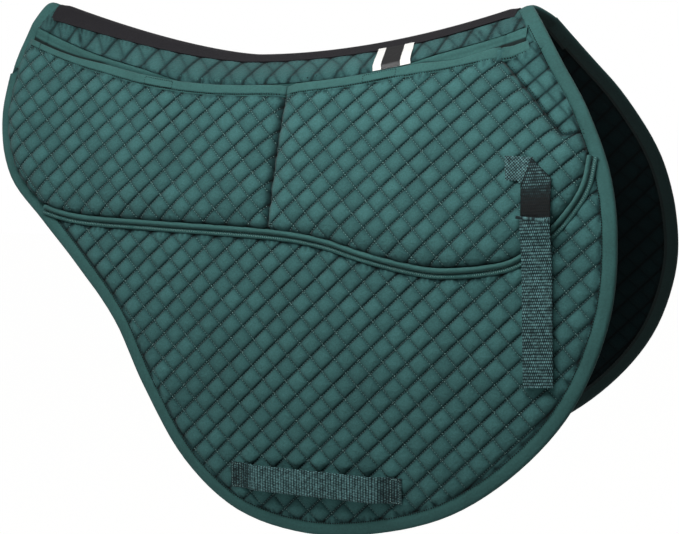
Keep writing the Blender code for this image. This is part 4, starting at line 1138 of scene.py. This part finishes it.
for side, turn in (("right", -1), ("left", 1)):

    def spineInside(quiltX, u):
        x, t = fromQuilt(quiltX, u)
        width = halfArc(np.clip(x, seamRear, seamFront)) + lapWidth(x)
        return np.minimum(np.minimum(t * turn - 0.05, width - t * turn), spineEdge(x, t) + 0.2)

    ring = [(-400, 0), (270, 78 * spine["squeeze"] * turn)]
    points, faces, count = clothBody(spineInside, ring, spineTop, spineUnder)
    points[:, 0], points[:, 1] = fromQuilt(points[:, 0], points[:, 1])
    piece = addPiece(side + "_spine_half", (points, faces, count), [cotton, liningCotton], wrap=onSpine,
                     tuft=spineShade, faceMaterial=twoFaced)
    attach(piece, side + "_side", ["spine_strip", "spine_lining"])

# Black tape along the crest, narrower towards the front and drawn down at its ends
crestTape = {"rows": 400, "columns": 29, "short": 12.0, "top": 9.4, "under": 8.0, "sink": 2.0, "rib": 0.16,
             "selvedge": 1.0}
x = np.linspace(spineEnd(0, False) + crestTape["short"], spineEnd(0, True) - crestTape["short"], crestTape["rows"])
t = np.linspace(-0.5, 0.5, crestTape["columns"]) * spine["webbing"]
flat = np.dstack(np.broadcast_arrays(x[:, None], t[None] * (1 - 0.3 * ramp(x, 110, 240))[:, None]))
weave = crestTape["rib"] * plainWeave(len(x), len(t)) * (np.abs(t) < halfWeb - crestTape["selvedge"])
sink = crestTape["sink"] * (1 - ramp(np.minimum(x - x[0], x[-1] - x), 0, 12))[:, None]
body = sheetBody(flat, crestTape["top"] - sink + weave, crestTape["under"] - sink)
piece = addPiece("black_spine_tape", body, [blackWebbing], wrap=onSpine)
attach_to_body(piece, "spine")
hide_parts("spine_webbing")

# The tape over each end of the spine goes on down both edges, and laps over the tape round the sides
for front, name in bothEnds[::-1]:
    share = np.linspace(0, 1, 24)
    x = spineEnd(share, front)
    crown = np.stack([x, share * halfArc(x)], 1)
    rest = edge[::-1][1:12] if front else edge[1:40]
    rest = rest[rest[:, 1] > (38 if front else binding["start"] - 4)]
    beyond = seamHeight(rest[:, 0]) + 0.5 - rest[:, 1]
    path = np.vstack([crown, np.stack([rest[:, 0], halfArc(np.clip(rest[:, 0], seamRear, seamFront)) + beyond], 1)])
    path = spaced(path, 2.0)
    for side, turn in (("right", -1), ("left", 1)):
        forward = front == (turn > 0)
        profile = bindingProfile() * [1 if forward else -1, 1]
        profile[:, 1] = binding["middle"] + (profile[:, 1] - binding["middle"]) * (1.06 if front else 0.97)
        points, faces, count = sweptBody(path * [1, turn], profile, bindingLift)
        if not forward:
            faces = [tuple(reversed(face)) for face in faces]
        piece = addPiece(side + "_" + name + "_spine_binding", (points, faces, count), [tape], wrap=onSpine,
                         tuft=bindingShade)
        attach(piece, side + "_side", [name + "_spine_binding"])

# Woven label with a plain dark field and no words
label = {"x": 106.0, "width": 41.0, "slant": 8.0, "past": 5.0, "columns": 42, "rows": 40, "field": (8, 30),
         "top": 10.95, "under": 10.6}
x = label["x"] + np.linspace(-0.5, 0.5, label["columns"])[:, None] * label["width"]
share = np.linspace(0, 1, label["rows"])[None, ::-1]
flat = np.dstack([x + label["slant"] * (share - 0.5), -(halfWeb + 0.5 + (halfArc(x) + label["past"] - halfWeb) * share)])
wavy = 0.05 * noise(flat[..., 0], flat[..., 1], 14, 21)


def labelField(points, faces, topCount):
    column = np.arange(topCount) // (label["rows"] - 1)
    dark = (column > label["field"][0]) & (column < label["field"][1])
    return np.concatenate([dark.astype(int), np.zeros(len(faces) - topCount, int)])


body = sheetBody(flat, label["top"] + wavy, label["under"] + wavy)
piece = addPiece("satin_label", body, [satin, satinDark], wrap=onSpine, faceMaterial=labelField)
attach(piece, "right_side", ["woven_label"])
print("spine sewn")

# Floor, backdrop, light and camera
stage = {"floor": -1.5, "floorGlow": 0.9, "above": 0.36, "below": 0.02}


def seenBy(tree, *kinds):
    # 1 for the rays that show the backdrop, 0 for those that light the pad
    rays = addNode(tree, "LightPath").outputs
    seen = rays[kinds[0]]
    for kind in kinds[1:]:
        seen = addNode(tree, "Math", {0: seen, 1: rays[kind]}, operation="MAXIMUM").outputs[0]
    return seen


bpy.ops.mesh.primitive_plane_add(size=14, location=(0, 0, stage["floor"]))
floor = bpy.context.object
floor.name = "floor"
floorPaint = bpy.data.materials.new("paleStudioFloor")
floorPaint.use_nodes = True
tree = floorPaint.node_tree
seen = seenBy(tree, "Is Camera Ray", "Is Glossy Ray", "Is Transmission Ray")
glow = addNode(tree, "Math", {0: seen, 1: stage["floorGlow"]}, operation="MULTIPLY").outputs[0]
shader = tree.nodes["Principled BSDF"]
shader.inputs["Base Color"].default_value = linear("#9a9a98")
shader.inputs["Roughness"].default_value = 0.9
shader.inputs["Emission Color"].default_value = (1, 1, 1, 1)
tree.links.new(glow, shader.inputs["Emission Strength"])
floor.data.materials.append(floorPaint)

world = bpy.data.worlds.new("studio")
bpy.context.scene.world = world
world.use_nodes = True
tree = world.node_tree
seen = seenBy(tree, "Is Camera Ray", "Is Transmission Ray")
# More light comes from above than from below
skyward = addNode(tree, "SeparateXYZ", {"Vector": addNode(tree, "TexCoord").outputs["Generated"]}).outputs["Z"]
light = addNode(tree, "MapRange", {"Value": skyward, "From Min": 0.0, "From Max": 0.9,
                                   "To Min": stage["below"], "To Max": stage["above"]}).outputs[0]
strength = addNode(tree, "Mix", {"Factor": seen, "A": light, "B": 1.0}).outputs[0]
tree.nodes["Background"].inputs["Color"].default_value = (1, 1, 1, 1)
tree.links.new(strength, tree.nodes["Background"].inputs["Strength"])

for name, place, target, size, power in (
        ("keySoftbox", (-0.25, -0.65, 0.65), (0, -0.12, -0.1), 0.35, 4.8),
        ("frontSoftbox", (0.25, -0.5, 0.45), (0.15, -0.12, 0.0), 0.35, 3.2),
        ("backSoftbox", (0.0, 1.0, 0.05), (0, 0.12, -0.2), 0.6, 8),
        ("lowSoftbox", (-0.3, -1.5, -1.1), (0.0, -0.15, -0.45), 0.6, 6)):
    light = bpy.data.lights.new(name, "AREA")
    light.shape, light.size, light.size_y, light.energy = "RECTANGLE", size, size, power
    lamp = bpy.data.objects.new(name, light)
    lamp.location = place
    lamp.rotation_euler = (Vector(target) - Vector(place)).to_track_quat("-Z", "Y").to_euler()
    bpy.context.scene.collection.objects.link(lamp)

# The camera looks from place to target. Turn and roll, in degrees, set its level.
view = {"place": (0.7552, -1.6819, 0.1026), "target": (0.0155, 0.0, -0.2304), "turn": 23.7401, "roll": -1.5711,
        "lens": 87.33}
place, turn, roll = Vector(view["place"]), math.radians(view["turn"]), math.radians(view["roll"])
back = (place - Vector(view["target"])).normalized()
level = Vector((math.cos(turn), math.sin(turn), 0))
right = (level * math.cos(roll) + back.cross(level) * math.sin(roll)).normalized()
up = back.cross(right).normalized()
camera = bpy.data.objects.new("camera", bpy.data.cameras.new("camera"))
camera.matrix_world = Matrix([(right[i], up[i], back[i], place[i]) for i in range(3)] + [(0, 0, 0, 1)])
camera.data.sensor_width = 36
camera.data.lens = view["lens"]
bpy.context.scene.collection.objects.link(camera)
bpy.context.scene.camera = camera
bpy.context.scene.view_settings.view_transform = "Standard"
